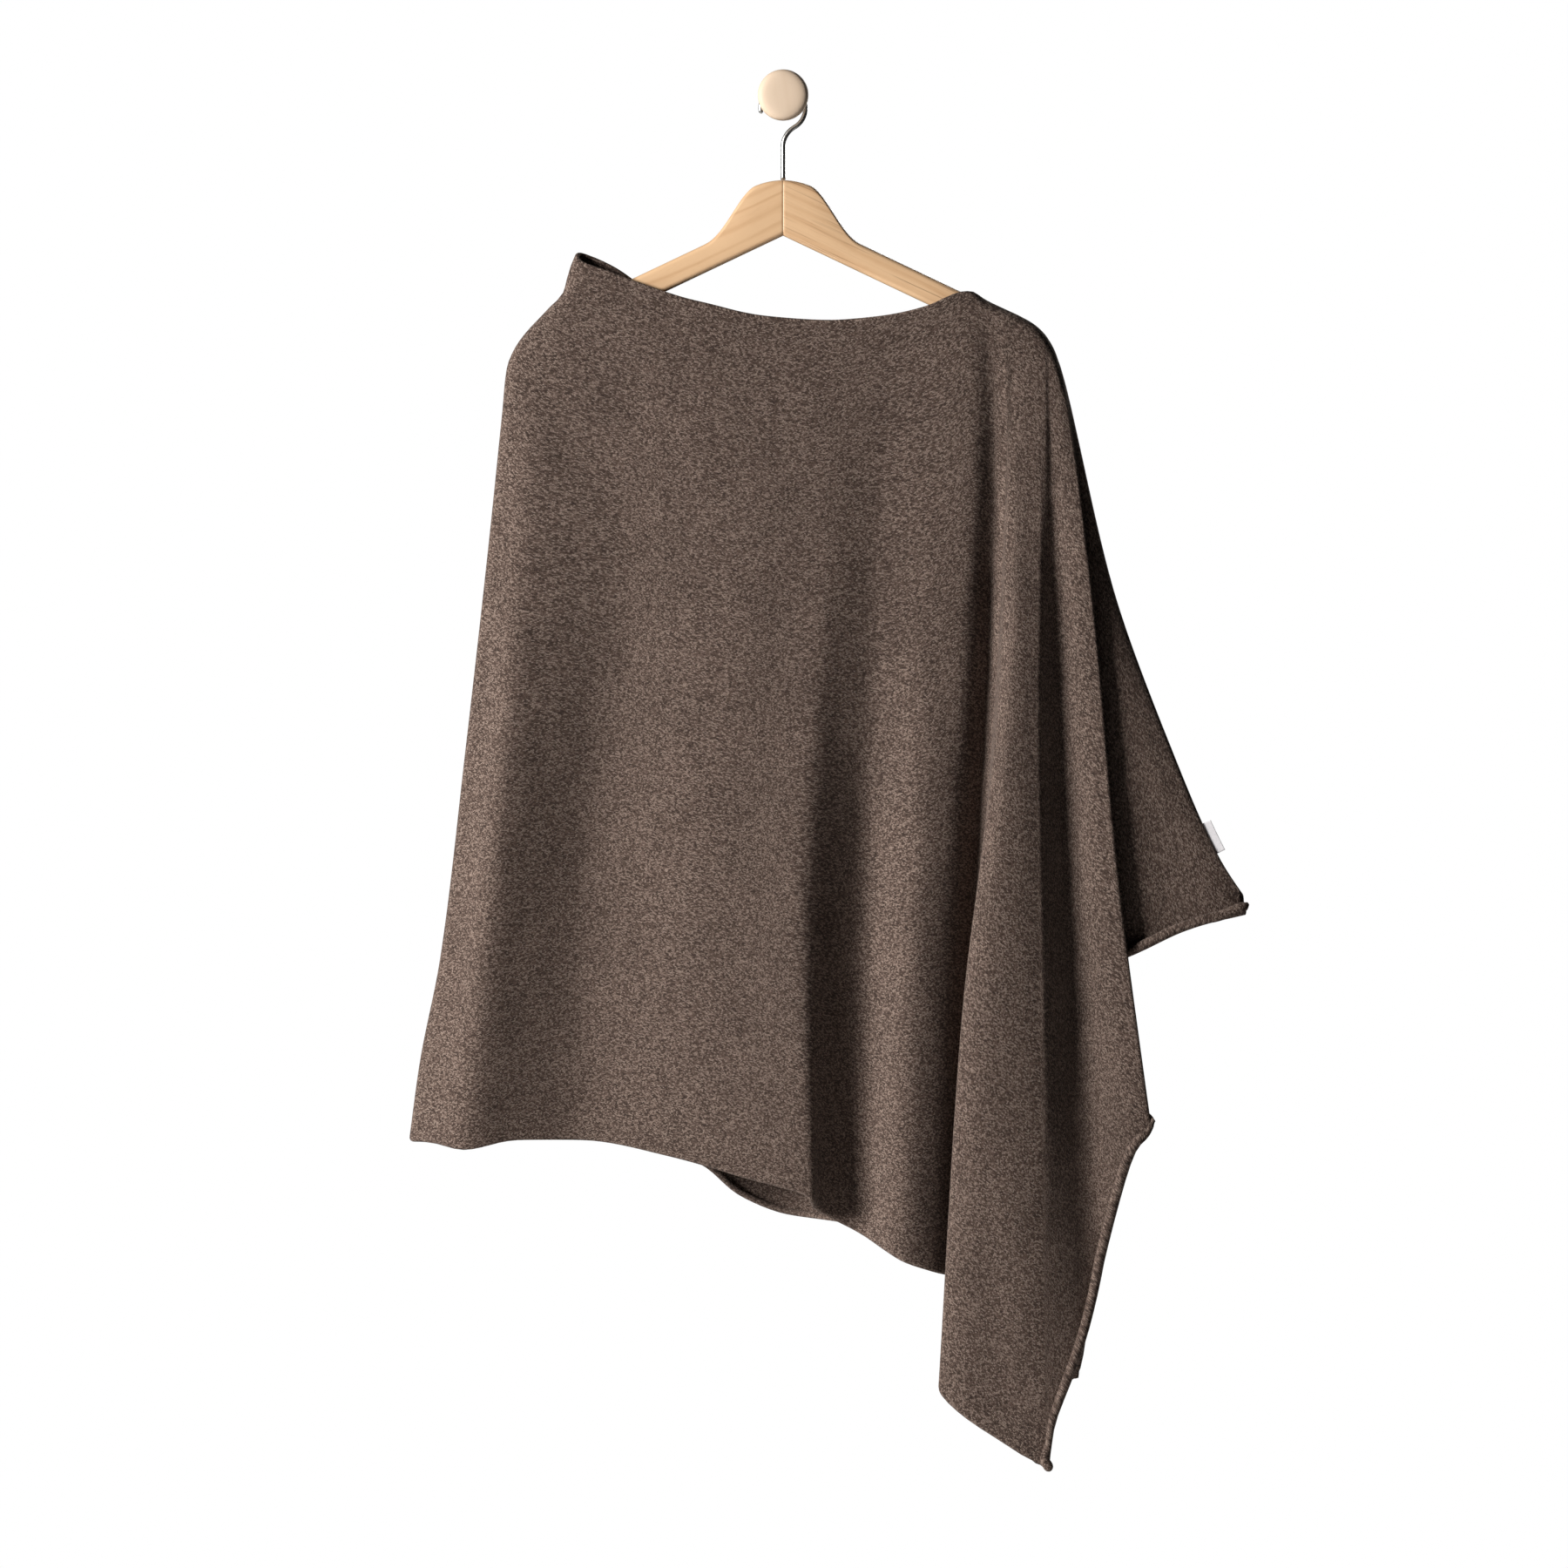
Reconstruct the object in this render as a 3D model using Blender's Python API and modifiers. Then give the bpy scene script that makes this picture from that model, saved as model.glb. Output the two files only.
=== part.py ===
"""A plain knitted poncho on a wooden clothes hanger, hung from a round wall peg.

The poncho is one long rectangle of fine knit, folded across its middle. The fold hangs on the left,
and the two top edges are joined from the far corner inwards, which leaves the neck open beside the fold.
It is built here as a front panel and a back panel that meet at the fold and along the seam.

Metres, +Z up. The origin is the middle of the peg's back face, the wall is the plane Y = 0, and the
poncho hangs in front of it, on the -Y side. Run it with: blender --background --python part.py
"""

import math
from typing import NamedTuple

import bpy
import numpy as np
from mathutils import Matrix

MM = 0.001

# Where things stand: the hanger's middle plane in front of the wall
HANGER_Y = -50 * MM

# Cloth
WALL = 2.0  # mm, a soft fine knit
EDGE_GAP = 0.15  # mm that each panel stays off the plane where the two meet
ROLL_WIDTH = 8.0  # mm, how wide the cloth's edges roll up
NECK_END = 339  # mm along the top edge, where the neck opening ends and the seam starts
SEAM_CLOSED = 352  # mm along the top edge, where the two panels have closed over the hanger

# Hanger: its top line falls to each side at ARM_FALL, and its ends are round and droop a little more
ARM_REACH = 212  # mm from the middle to each end
ARM_FALL = 0.475  # mm down for each mm out
END_FALL = 0.65
ARM_TOP = -88.2  # mm, height of the arms' straight top line at the middle
ARM_FOOT = -111.0  # mm, height of the arms' lower line at the middle
ARM_END_ROUND = 18  # mm
CROWN_TOP = -66.5  # mm
CROWN_RADIUS = 55  # mm, the dome of the crown
CROWN_SIDE = (24, 51)  # mm from the middle, where the dome gives way to the arm
HANGER_THICK = 11  # mm
HANGER_ROUND = 4  # mm, the rounded edges

# Hook and wall peg
WIRE = 3.8  # mm
HOOK_RADIUS = 18  # mm to the middle of the wire
STEM_RADIUS = 7.5  # mm, the peg where the hook sits
HEAD_RADIUS = 20.3  # mm
TOUCH = 0.3  # mm left between pieces that rest on each other

# How far down a fold line the columns of its row lie, as shares of its length
STATIONS = np.array((0.0, 0.13, 1 / 3, 2 / 3, 1.0))


class EdgePoint(NamedTuple):
    """A point of an edge or of the fold, in mm."""

    x: float
    z: float


class FoldLine(NamedTuple):
    """A line down the cloth, in mm: where it starts along the top edge, where it runs and how it ends.

    x has its place across at the yoke, a third and two thirds of the way down, and at its foot.
    out has how far the cloth stands before the hanger's middle at the top and at those four.
    bend is the radius of a sharp turn of the cloth along this line, and 0 where there is none.
    roll is how much thicker the rolled edge is at its foot: above 0 outwards, below 0 inwards.
    """

    name: str
    start: float
    x: tuple
    foot_z: float
    out: tuple
    bend: float
    roll: float


# The left fold: the radius on which the cloth turns, at the neck and at the foot, the added lines'
# angles round it, and its path from the neck down over the hanger's end to the lower hem
FOLD_RADIUS = (8, 14)  # mm
FOLD_ANGLES = (0, 45, 90)  # degrees
FOLD_ROLL = -3  # mm, as in FoldLine
LEFT_FOLD = (
    EdgePoint(-167, -126.5),
    EdgePoint(-172, -139),
    EdgePoint(-178, -159.5),
    EdgePoint(-185, -166),
    EdgePoint(-194, -175.5),
    EdgePoint(-208, -190.5),
    EdgePoint(-216, -202),
    EdgePoint(-220.5, -217),
    EdgePoint(-224, -255),
    EdgePoint(-234, -356),
    EdgePoint(-252, -524),
    EdgePoint(-273, -692),
    EdgePoint(-290, -776),
    EdgePoint(-299, -832),
)
# The neck's edge from the fold to the end of the opening, then the seam from there to the open corner
NECK_FRONT = (
    EdgePoint(-167, -126.5),
    EdgePoint(-164, -129.5),
    EdgePoint(-153, -136),
    EdgePoint(-124, -148),
    EdgePoint(-76, -164),
    EdgePoint(-20, -178),
    EdgePoint(36, -182),
    EdgePoint(79, -178.5),
    EdgePoint(123, -167),
    EdgePoint(138, -159.5),
)
NECK_BACK = (
    EdgePoint(-167, -126.5),
    EdgePoint(-164, -125.5),
    EdgePoint(-153, -127.5),
    EdgePoint(-124, -147),
    EdgePoint(-76, -170),
    EdgePoint(-20, -183),
    EdgePoint(40, -187),
    EdgePoint(106, -177),
    EdgePoint(138, -160),
)
SEAM = (
    EdgePoint(148, -155.8),
    EdgePoint(160, -162),
    EdgePoint(176, -169.6),
    EdgePoint(198, -180.4),
    EdgePoint(207, -187.5),
    EdgePoint(213, -195),
    EdgePoint(217.5, -203),
    EdgePoint(224, -222),
    EdgePoint(236, -272),
    EdgePoint(254, -357),
    EdgePoint(301, -496),
    EdgePoint(359, -627),
    EdgePoint(374, -647),
)

FRONT_LINES = (
    FoldLine("left_crest", 30, (-195, -210, -238, -264), -842, (9, 12, 17, 22, 24), 0, -3),
    FoldLine("left_valley", 62, (-132, -151, -187, -206), -835, (10, 12, 14, 9, 6), 0, -3),
    FoldLine("chest_crest", 112, (-87, -106, -125, -143), -839, (10, 14, 20, 28, 30), 0, -3),
    FoldLine("chest_middle", 168, (-26, -36, -46, -58), -858, (10, 14, 19, 26, 30), 0, -3),
    FoldLine("chest_edge", 222, (33, 28, 16, 26), -885, (10, 14, 20, 26, 27), 5, -0.5),
    FoldLine("second_turn", 244, (52, 46, 33, 11), -893, (10, 12, 14, 14, 13), 4, -0.5),
    FoldLine("second_valley", 262, (72, 64, 54, 44), -903, (10, 10, 8, 5, 5), 0, -2),
    FoldLine("second_crest", 305, (124, 115, 99, 90), -932, (10, 13, 22, 28, 30), 0, -3),
    FoldLine("neck_end", 339, (147, 134, 120, 113), -942, (9, 12, 14, 14, 14), 0, -2),
    FoldLine("third_valley", 357, (161, 146, 132, 127), -946, (9, 9, 3, 3, 3), 0, -1),
    FoldLine("third_turn", 370, (173, 158, 154, 174), -975, (9, 10, 9, 9, 9), 4, 0),
    FoldLine("sleeve_edge", 384, (179, 169, 143, 129), -1035, (9, 13, 17, 20, 20), 5, -1),
    FoldLine("sleeve_crest", 397, (190, 183, 165, 162), -1070, (9, 18, 32, 38, 34), 0, -3),
    FoldLine("corner", 406, (202, 199, 204, 213), -1101, (9, 18, 29, 35, 32), 0, 1),
    FoldLine("corner_side", 410.5, (206, 205, 211, 236), -1026, (9, 16, 25, 31, 32), 0, 4),
    FoldLine("fourth_valley", 415, (212, 212, 216, 250), -945, (9, 15, 22, 26, 32), 0, 4),
    FoldLine("arm_crest", 426, (224, 236, 250, 278), -846, (8, 20, 33, 44, 44), 0, 4.5),
    FoldLine("arm_edge", 440, (235, 250, 269, 296), -815, (7, 17, 27, 34, 34), 6, 2),
    FoldLine("arm_return", 455, (235.5, 243, 250, 268), -788, (6, 12, 19, 22, 24), 0, 1),
    FoldLine("arm_turn", 474, (236, 228, 206, 186), -741, (6, 8, 11, 14, 15), 5, 0),
    FoldLine("arm_under", 504, (239, 238, 236, 230), -711, (5, 4, 4, 4, 4), 0, 1),
    FoldLine("wing_middle", 620, (268, 272, 279, 284), -687, (5, 6, 7, 7, 6), 0, 5),
    FoldLine("wing_outer", 755, (313, 315, 318, 320), -670, (5, 5, 6, 6, 5), 0, 5),
    FoldLine("wing_side", 858, (354, 354.5, 354.5, 354), -660, (5, 5, 5, 5, 5), 0, 3.5),
    FoldLine("seam_end", 888, (369, 369.5, 369.8, 369.5), -654, (0, 0, 0, 0, 0), 0, 1),
)
BACK_LINES = (
    FoldLine("left_crest", 32, (-194, -211, -240, -266), -838, (-9, -11, -15, -18, -20), 0, -3),
    FoldLine("left_valley", 66, (-135, -156, -181, -201), -832, (-10, -11, -10, -8, -8), 0, -3),
    FoldLine("first_crest", 116, (-84, -101, -119, -136), -834, (-10, -14, -21, -29, -32), 0, -3),
    FoldLine("first_valley", 168, (-28, -38, -50, -65), -858, (-10, -13, -15, -16, -16), 0, -3),
    FoldLine("middle_crest", 224, (31, 24, 15, 4), -899, (-10, -14, -23, -32, -35), 0, -3),
    FoldLine("middle_valley", 266, (71, 65, 55, 48), -904, (-10, -12, -12, -10, -9), 0, -3),
    FoldLine("second_crest", 307, (121, 112, 101, 92), -926, (-10, -14, -23, -30, -32), 0, -3),
    FoldLine("neck_end", 339, (147, 137, 127, 119), -938, (-9, -12, -14, -15, -16), 0, -2),
    FoldLine("third_valley", 357, (161, 149, 139, 130), -945, (-9, -9, -5, -4, -4), 0, -1),
    FoldLine("third_turn", 370, (173, 163, 162, 168), -965, (-9, -10, -9.5, -9.5, -9.5), 4, 0),
    FoldLine("sleeve_edge", 384, (180, 172, 150, 140), -990, (-9, -12, -15, -18, -18), 4, -1),
    FoldLine("sleeve_crest", 396, (191, 188, 182, 186), -1010, (-9, -16, -26, -30, -30), 0, -3),
    FoldLine("corner", 405, (204, 206, 216, 232), -1035, (-9, -16, -25, -29, -27), 0, 1),
    FoldLine("fourth_valley", 416, (214, 221, 234, 251), -937, (-8, -15, -21, -25, -27), 0, 3),
    FoldLine("arm_edge", 438, (234, 246, 260, 278), -814, (-7, -16, -23, -28, -28), 5, 2),
    FoldLine("arm_return", 454, (235, 241, 243, 250), -783, (-6, -11, -16, -18, -19), 0, 1),
    FoldLine("arm_turn", 474, (236, 226, 204, 181), -742, (-6, -8, -9, -11, -12), 4, 0),
    FoldLine("arm_under", 506, (239, 237, 233, 225), -706, (-5, -4, -4, -4, -4), 0, 1),
    FoldLine("wing_middle", 620, (268, 272, 278, 283), -682, (-5, -6, -7, -7, -6), 0, 4),
    FoldLine("wing_outer", 755, (313, 315, 317, 319), -665, (-5, -5, -6, -6, -5), 0, 3),
    FoldLine("wing_side", 858, (354, 354.5, 354.5, 354), -658, (-4.5, -4.5, -4.5, -4.5, -4.5), 0, 1.5),
    FoldLine("seam_end", 888, (369, 369.5, 369.8, 369.5), -653, (0, 0, 0, 0, 0), 0, 1),
)

# The grid of a panel: columns from line to line, and rows near the top edge, over the yoke, down the
# middle and near the lower edge
COLUMN_WIDTH = 21  # mm, the most from column to column
TOP_ROWS = (0.0, 0.8, 3.5, 9.0)  # mm below the top edge, square to it
YOKE_ROWS = (20, 32, 41, 50, 63, 75, 91, 125)  # mm below the top edge, down the line
FOOT_ROWS = (11.0, 8.0, 5.5, 2.0, 0.0)  # mm off the lower edge, square to it
MIDDLE_ROWS = 9
TOP_SHARE = 0.12  # most of a line's length that the top rows may take
YOKE_SHARE = 0.4  # and the top and yoke rows together
FOOT_SHARE = 0.3  # and the foot rows
LEAST_SLANT = 0.22  # the sine of the flattest angle at which a line counts as meeting an edge
MOST_STEP = 0.4  # most of the gap between two lines that a bend's added line may step


def smooth_curve(knots, values, at):
    """The smooth curve through values, one per knot, that never swings past them, read at `at`.

    It is a cubic between neighbouring knots. Its slope at a knot is a weighted mean of the slopes on
    both sides, and nought where the values turn. Each column of values is a curve of its own.
    """
    steps = np.diff(knots)[:, None]
    rises = np.diff(values, axis=0) / steps
    before, after = rises[:-1], rises[1:]
    near, far = 2 * steps[1:] + steps[:-1], steps[1:] + 2 * steps[:-1]
    same_way = before * after > 0
    safe_before, safe_after = np.where(same_way, before, 1), np.where(same_way, after, 1)
    inner = np.where(same_way, (near + far) / (near / safe_before + far / safe_after), 0)
    slopes = np.concatenate((rises[:1], inner, rises[-1:]))
    k = np.clip(np.searchsorted(knots, at, side="right") - 1, 0, len(knots) - 2)
    step = np.diff(knots)[k, None]
    u = (at[:, None] - knots[k, None]) / step
    low, high = values[k], values[k + 1]
    return (
        low * (1 + 2 * u) * (1 - u) ** 2
        + slopes[k] * step * u * (1 - u) ** 2
        + high * u * u * (3 - 2 * u)
        + slopes[k + 1] * step * u * u * (u - 1)
    )


def distances(points):
    """How far along the chain of points each one lies."""
    gaps = np.linalg.norm(np.diff(points, axis=0), axis=1)
    return np.concatenate(((0.0,), np.cumsum(gaps)))


def smooth_step(value, low, high):
    """0 below low, 1 above high, and a smooth S between them."""
    share = np.clip((value - low) / (high - low), 0, 1)
    return share * share * (3 - 2 * share)


def top_edge(neck):
    """(distance along the edge, points) of a panel's top edge: its neck edge, then the seam.

    The neck's distances are stretched a little, so that the seam starts at NECK_END on both panels.
    """
    points = np.array(neck + SEAM, float)
    along = distances(points[:, :2])
    seam = along[len(neck)]
    return np.where(along < seam, along * NECK_END / seam, along - seam + NECK_END), points


def line_rows(lines, neck):
    """A row for each fold line: start, roll, x at the five stations, z at them and out at them."""
    along, points = top_edge(neck)
    rows = []
    for line in lines:
        top = smooth_curve(along, points, np.array((line.start,), float))[0]
        height = top[1] + (line.foot_z - top[1]) * STATIONS
        rows.append((line.start, line.roll, top[0], *line.x, *height, *line.out))
    return np.array(rows, float)


def with_bends(rows, bends):
    """The rows with two more beside each line that has a bend, so that the cloth turns on that radius."""
    made = [rows[0]]
    for before, row, after, bend in zip(rows[:-2], rows[1:-1], rows[2:], bends[1:-1]):
        if bend:
            made.append(stepped(row, before, bend))
        made.append(row)
        if bend:
            made.append(stepped(row, after, bend))
    return np.array([*made, rows[-1]])


def stepped(row, other, bend):
    """The row moved towards another, by up to the bend's radius and no more than a share of the gap."""
    gap = other - row
    share = min(MOST_STEP, bend / np.hypot(gap[2:7], gap[12:17]).mean())
    moved = row + share * gap
    for part in (slice(3, 7), slice(13, 17)):
        moved[part] = row[part] + np.clip(MOST_STEP * gap[part], -bend, bend)
    return moved


def slant(edge, down):
    """The sine of the angle between each line and the edge it meets, but not under LEAST_SLANT."""
    sine = np.linalg.norm(np.cross(edge, down), axis=1)
    sine /= np.linalg.norm(edge, axis=1) * np.linalg.norm(down, axis=1)
    return np.clip(sine, LEAST_SLANT, 1)


def line_grid(row, top_slant, foot_slant):
    """Points down a fold line as rows of x, z, out, and the distances off the top and the lower edge."""
    x, height, out = row[2:7], row[7:12], row[12:17]
    length = height[0] - height[-1]
    tops = np.array(TOP_ROWS) * min(TOP_SHARE / TOP_ROWS[-1], 1 / (top_slant * length))
    yoke = np.array(YOKE_ROWS) - YOKE_ROWS[0]
    yoke = tops[-1] + (yoke + 10) * min((YOKE_SHARE - tops[-1]) / (yoke[-1] + 10), 1 / length)
    fits = min(1, FOOT_SHARE * length * foot_slant / FOOT_ROWS[0])
    feet = 1 - np.array(FOOT_ROWS) * fits / foot_slant / length
    inner = np.arange(1, MIDDLE_ROWS + 1) / (MIDDLE_ROWS + 1)
    share = np.concatenate((tops, yoke, yoke[-1] + inner * (feet[0] - yoke[-1]), feet))
    line = smooth_curve(STATIONS, np.stack((x, height, out), 1), share)
    off_top = share * length * top_slant
    off_foot = (1 - share) * length * foot_slant / fits
    return np.column_stack((line, off_top, off_foot))


def fold_grid(row, angle):
    """The same for a line on the turn of the left fold, at an angle round it from the fold's own line.

    It follows the fold's points, moved in on an arc whose radius grows from the neck to the foot.
    """
    grid = line_grid(row, 1, 1)
    path = np.array(LEFT_FOLD, float)
    down = (path[0, 1] - grid[:, 1]).clip(0)
    radius = FOLD_RADIUS[0] + (FOLD_RADIUS[1] - FOLD_RADIUS[0]) * down / down[-1]
    grid[:, 0] = smooth_curve(path[0, 1] - path[:, 1], path, down)[:, 0]
    grid[:, 0] += radius * (1 - math.cos(angle))
    grid[:, 2] = radius * math.sin(angle)
    return grid


def fold_row(neck, angle):
    """The row of fold_grid's line: only its start, roll and heights are used."""
    row = np.zeros(17)
    row[0] = FOLD_RADIUS[0] * abs(angle)
    row[1] = FOLD_ROLL
    along, points = top_edge(neck)
    top = smooth_curve(along, points, row[:1])[0, 1]
    row[7:12] = top + (LEFT_FOLD[-1].z - top) * STATIONS
    return row


def panel_surface(front):
    """The middle of a panel's wall as a grid of points in mm, and its rolled edges' thickness.

    Columns run from the fold to the seam's end and rows from the top edge down. The first columns turn
    round the left fold, and the rest follow the fold lines.
    """
    lines, neck, side = (FRONT_LINES, NECK_FRONT, 1) if front else (BACK_LINES, NECK_BACK, -1)
    turns = [side * math.radians(angle) for angle in FOLD_ANGLES]
    turn_rows = np.array([fold_row(neck, angle) for angle in turns])
    rows = with_bends(line_rows(lines, neck), [line.bend for line in lines])
    feet, tops = rows[:, [6, 11, 16]], rows[:, [2, 7, 12]]
    foot_slant = slant(np.gradient(feet, axis=0), feet - rows[:, [5, 10, 15]])
    top_slant = slant(np.gradient(tops, axis=0), rows[:, [3, 8, 13]] - tops)
    grids = [fold_grid(row, angle) for row, angle in zip(turn_rows, turns)]
    grids += [line_grid(*each) for each in zip(rows, top_slant, foot_slant)]
    grids = np.array(grids)

    gaps = np.linalg.norm(np.diff(grids[:, :, :3], axis=0), axis=2).mean(1)
    knots = np.concatenate(((0.0,), np.cumsum(gaps)))
    counts = np.ceil(gaps / COLUMN_WIDTH).astype(int)
    at = np.concatenate([knots[:1]] + [
        np.linspace(near, far, count + 1)[1:] for near, far, count in zip(knots, knots[1:], counts)
    ])
    values = np.concatenate((turn_rows, rows))[:, :2]
    columns = smooth_curve(knots, np.concatenate((values, grids.reshape(len(knots), -1)), 1), at)
    start, roll = columns[:, 0], columns[:, 1]
    x, z, out, below, above = np.moveaxis(columns[:, 2:].reshape(len(at), -1, 5), 2, 0)

    # Over the hanger and along the seam the wall turns in to the middle plane on a quarter circle
    reach = np.abs(out[:, :1]).clip(1)
    quarter = np.sqrt(np.clip(1 - (1 - np.clip(below / reach, 0, 1)) ** 2, 0, 1))
    closing = smooth_step(start, NECK_END, SEAM_CLOSED)[:, None] * (1 - quarter)
    closing[[0, -1]] = 1
    out = out * (1 - closing) + side * EDGE_GAP * closing
    points = np.stack((x, HANGER_Y / MM - out, z), 2)

    bead = np.clip(1 - np.abs(2 * above / ROLL_WIDTH - 1), 0, 1)
    bead = roll[:, None] * np.sqrt(bead * (2 - bead))
    return points, bead, closing


def wall_faces(points, bead, closing):
    """The far and the near face of a wall, far being the one on the side that the normals point to.

    At the fold and along the seam they end square to the plane where the panels meet. bead is how much
    the wall thickens, above 0 on the far side and below 0 on the near one.
    """
    along, down = np.gradient(points, axis=0), np.gradient(points, axis=1)
    normals = np.cross(along, down)
    normals[:, :, 1] *= 1 - closing
    normals[-1, 0] = normals[-1, 1]
    normals /= np.linalg.norm(normals, axis=2, keepdims=True)
    far = points + normals * (WALL / 2 + bead.clip(0))[:, :, None]
    near = points - normals * (WALL / 2 - bead.clip(None, 0))[:, :, None]
    return far, near


def closed_shell(far, near):
    """Vertices and faces of the closed wall between two grids of points, with quads all round."""
    index = np.arange(far.shape[0] * far.shape[1]).reshape(far.shape[:2])
    quads = np.stack((index[:-1, :-1], index[1:, :-1], index[1:, 1:], index[:-1, 1:]), 2).reshape(-1, 4)
    border = np.concatenate((index[:-1, 0], index[-1, :-1], index[:0:-1, -1], index[0, :0:-1]))
    after = np.roll(border, -1)
    rim = np.stack((after, border, border + index.size, after + index.size), 1)
    points = np.concatenate((far.reshape(-1, 3), near.reshape(-1, 3)))
    return points, np.concatenate((quads, quads[:, ::-1] + index.size, rim))


def add_material(obj, name, color, roughness, metallic=0.0):
    """Gives the object a Principled material of that colour and finish."""
    material = bpy.data.materials.new(name)
    material.use_nodes = True
    shader = material.node_tree.nodes["Principled BSDF"]
    shader.inputs["Base Color"].default_value = (*color, 1)
    shader.inputs["Roughness"].default_value = roughness
    shader.inputs["Metallic"].default_value = metallic
    obj.data.materials.append(material)


def add_panel(collection, name, front):
    """A panel of the cloth, lofted through its fold lines, with a wall and rolled edges."""
    points, bead, closing = panel_surface(front)
    # The grid's normals point to the wall, which is the outside of the back panel only
    points, faces = closed_shell(*wall_faces(points, -bead if front else bead, closing))
    mesh = bpy.data.meshes.new(name)
    mesh.from_pydata((points * MM).tolist(), [], faces.tolist())
    mesh.shade_smooth()
    panel = bpy.data.objects.new(name, mesh)
    collection.objects.link(panel)
    add_material(panel, name + "_knit", (0.13, 0.095, 0.08), 0.95)
    return panel


def hanger_outline():
    """The hanger's outline in mm, round from its left end along the top and back underneath.

    Each side is a straight tapered arm with a round end. Near the middle the top edge is a dome, and
    a smooth S carries it down to the arm's line.
    """
    inner, outer = CROWN_SIDE
    reach = ARM_REACH - ARM_END_ROUND
    side = np.concatenate((np.linspace(0, outer + 4, 15), (90, 130, 170, reach)))
    dome = CROWN_TOP - side**2 / (2 * CROWN_RADIUS)
    blend = smooth_step(side, inner, outer)
    top = dome * (1 - blend) + (ARM_TOP - ARM_FALL * side) * blend
    high = ARM_TOP - ARM_FALL * reach
    low = ARM_FOOT - ARM_FALL * reach
    turn = np.linspace(math.pi / 2, -math.pi / 2, 9)[1:-1]
    end_x = reach + ARM_END_ROUND * np.cos(turn)
    end_z = (high + low) / 2 + (high - low) / 2 * np.sin(turn) - END_FALL * (end_x - reach)
    under = np.array((reach, 150, 75, 0.0))
    half_x = np.concatenate((side, end_x, under))
    half_z = np.concatenate((top, end_z, ARM_FOOT - ARM_FALL * under))
    other_x, other_z = -half_x[1:-1][::-1], half_z[1:-1][::-1]
    return np.stack((np.concatenate((half_x, other_x)), np.concatenate((half_z, other_z))), 1)


def add_hanger(collection):
    """The wooden hanger: its outline as a filled flat curve, thick, with rounded edges."""
    outline = hanger_outline()
    curve = bpy.data.curves.new("hanger", "CURVE")
    curve.dimensions = "2D"
    curve.fill_mode = "BOTH"
    curve.extrude = HANGER_THICK / 2 * MM
    spline = curve.splines.new("POLY")
    spline.points.add(len(outline) - 1)
    for point, (x, z) in zip(spline.points, outline * MM):
        point.co = (x, z, 0, 1)
    spline.use_cyclic_u = True
    hanger = bpy.data.objects.new("hanger", curve)
    hanger.rotation_euler.x = math.pi / 2
    hanger.location.y = HANGER_Y
    collection.objects.link(hanger)
    weld = hanger.modifiers.new("join_caps", "WELD")
    weld.merge_threshold = 0.01 * MM
    edges = hanger.modifiers.new("rounded_edges", "BEVEL")
    edges.width = HANGER_ROUND * MM
    edges.segments = 3
    edges.limit_method = "ANGLE"
    edges.angle_limit = math.radians(50)
    edges.use_clamp_overlap = False
    add_material(hanger, "hanger_beech", (0.74, 0.5, 0.28), 0.5)
    return hanger


def hook_path():
    """The hook's wire in mm, from its free end over the peg and down to the hanger's crown.

    A circle of HOOK_RADIUS goes two thirds of the way round, and a quarter turn of the same size
    swings it back under its own middle, where the straight shank stands.
    """
    top = STEM_RADIUS + TOUCH + WIRE / 2
    middle_z = top - HOOK_RADIUS
    sweep = np.radians(np.linspace(195, -60, 18))
    circle = np.stack((HOOK_RADIUS * np.cos(sweep), middle_z + HOOK_RADIUS * np.sin(sweep)), 1)
    back = HOOK_RADIUS
    centre = circle[-1] * (1 + back / HOOK_RADIUS) - np.array((0, middle_z)) * back / HOOK_RADIUS
    swing = np.radians(np.linspace(120, 180, 6)[1:])
    bend = centre + back * np.stack((np.cos(swing), np.sin(swing)), 1)
    shank = np.array(((bend[-1, 0], (bend[-1, 1] + CROWN_TOP) / 2), (bend[-1, 0], CROWN_TOP + TOUCH)))
    return np.concatenate((circle, bend, shank))


def add_hook(collection):
    """The steel hook: round wire along its path."""
    path = hook_path()
    curve = bpy.data.curves.new("hook", "CURVE")
    curve.dimensions = "3D"
    curve.bevel_depth = WIRE / 2 * MM
    curve.bevel_resolution = 2
    curve.use_fill_caps = True
    spline = curve.splines.new("POLY")
    spline.points.add(len(path) - 1)
    for point, (x, z) in zip(spline.points, path * MM):
        point.co = (x, 0, z, 1)
    hook = bpy.data.objects.new("hook", curve)
    hook.location.y = HANGER_Y
    collection.objects.link(hook)
    add_material(hook, "hook_steel", (0.62, 0.62, 0.6), 0.3, metallic=1.0)
    return hook


# The peg's turned profile: (radius, distance from the wall) in mm, from its front to the wall
PEG_PROFILE = (
    (0, 80.5),
    (14, 80),
    (18.5, 78.5),
    (HEAD_RADIUS, 75),
    (HEAD_RADIUS, 69),
    (18.5, 65.5),
    (13, 63),
    (9, 59),
    (STEM_RADIUS, 54),
    (STEM_RADIUS, 44),
    (8, 36),
    (8, 0),
    (0, 0),
)


def add_peg(collection):
    """The wall peg: its profile turned once round its length, lying along -Y from the wall."""
    mesh = bpy.data.meshes.new("wall_peg")
    points = [(radius * MM, 0, away * MM) for radius, away in PEG_PROFILE]
    mesh.from_pydata(points, [(i, i + 1) for i in range(len(points) - 1)], [])
    peg = bpy.data.objects.new("wall_peg", mesh)
    peg.rotation_euler.x = math.pi / 2
    collection.objects.link(peg)
    turned = peg.modifiers.new("turned", "SCREW")
    turned.steps = turned.render_steps = 24
    turned.use_merge_vertices = True
    turned.merge_threshold = 0.01 * MM
    turned.use_normal_calculate = True
    add_material(peg, "peg_wood", (0.8, 0.63, 0.47), 0.6)
    return peg


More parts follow.
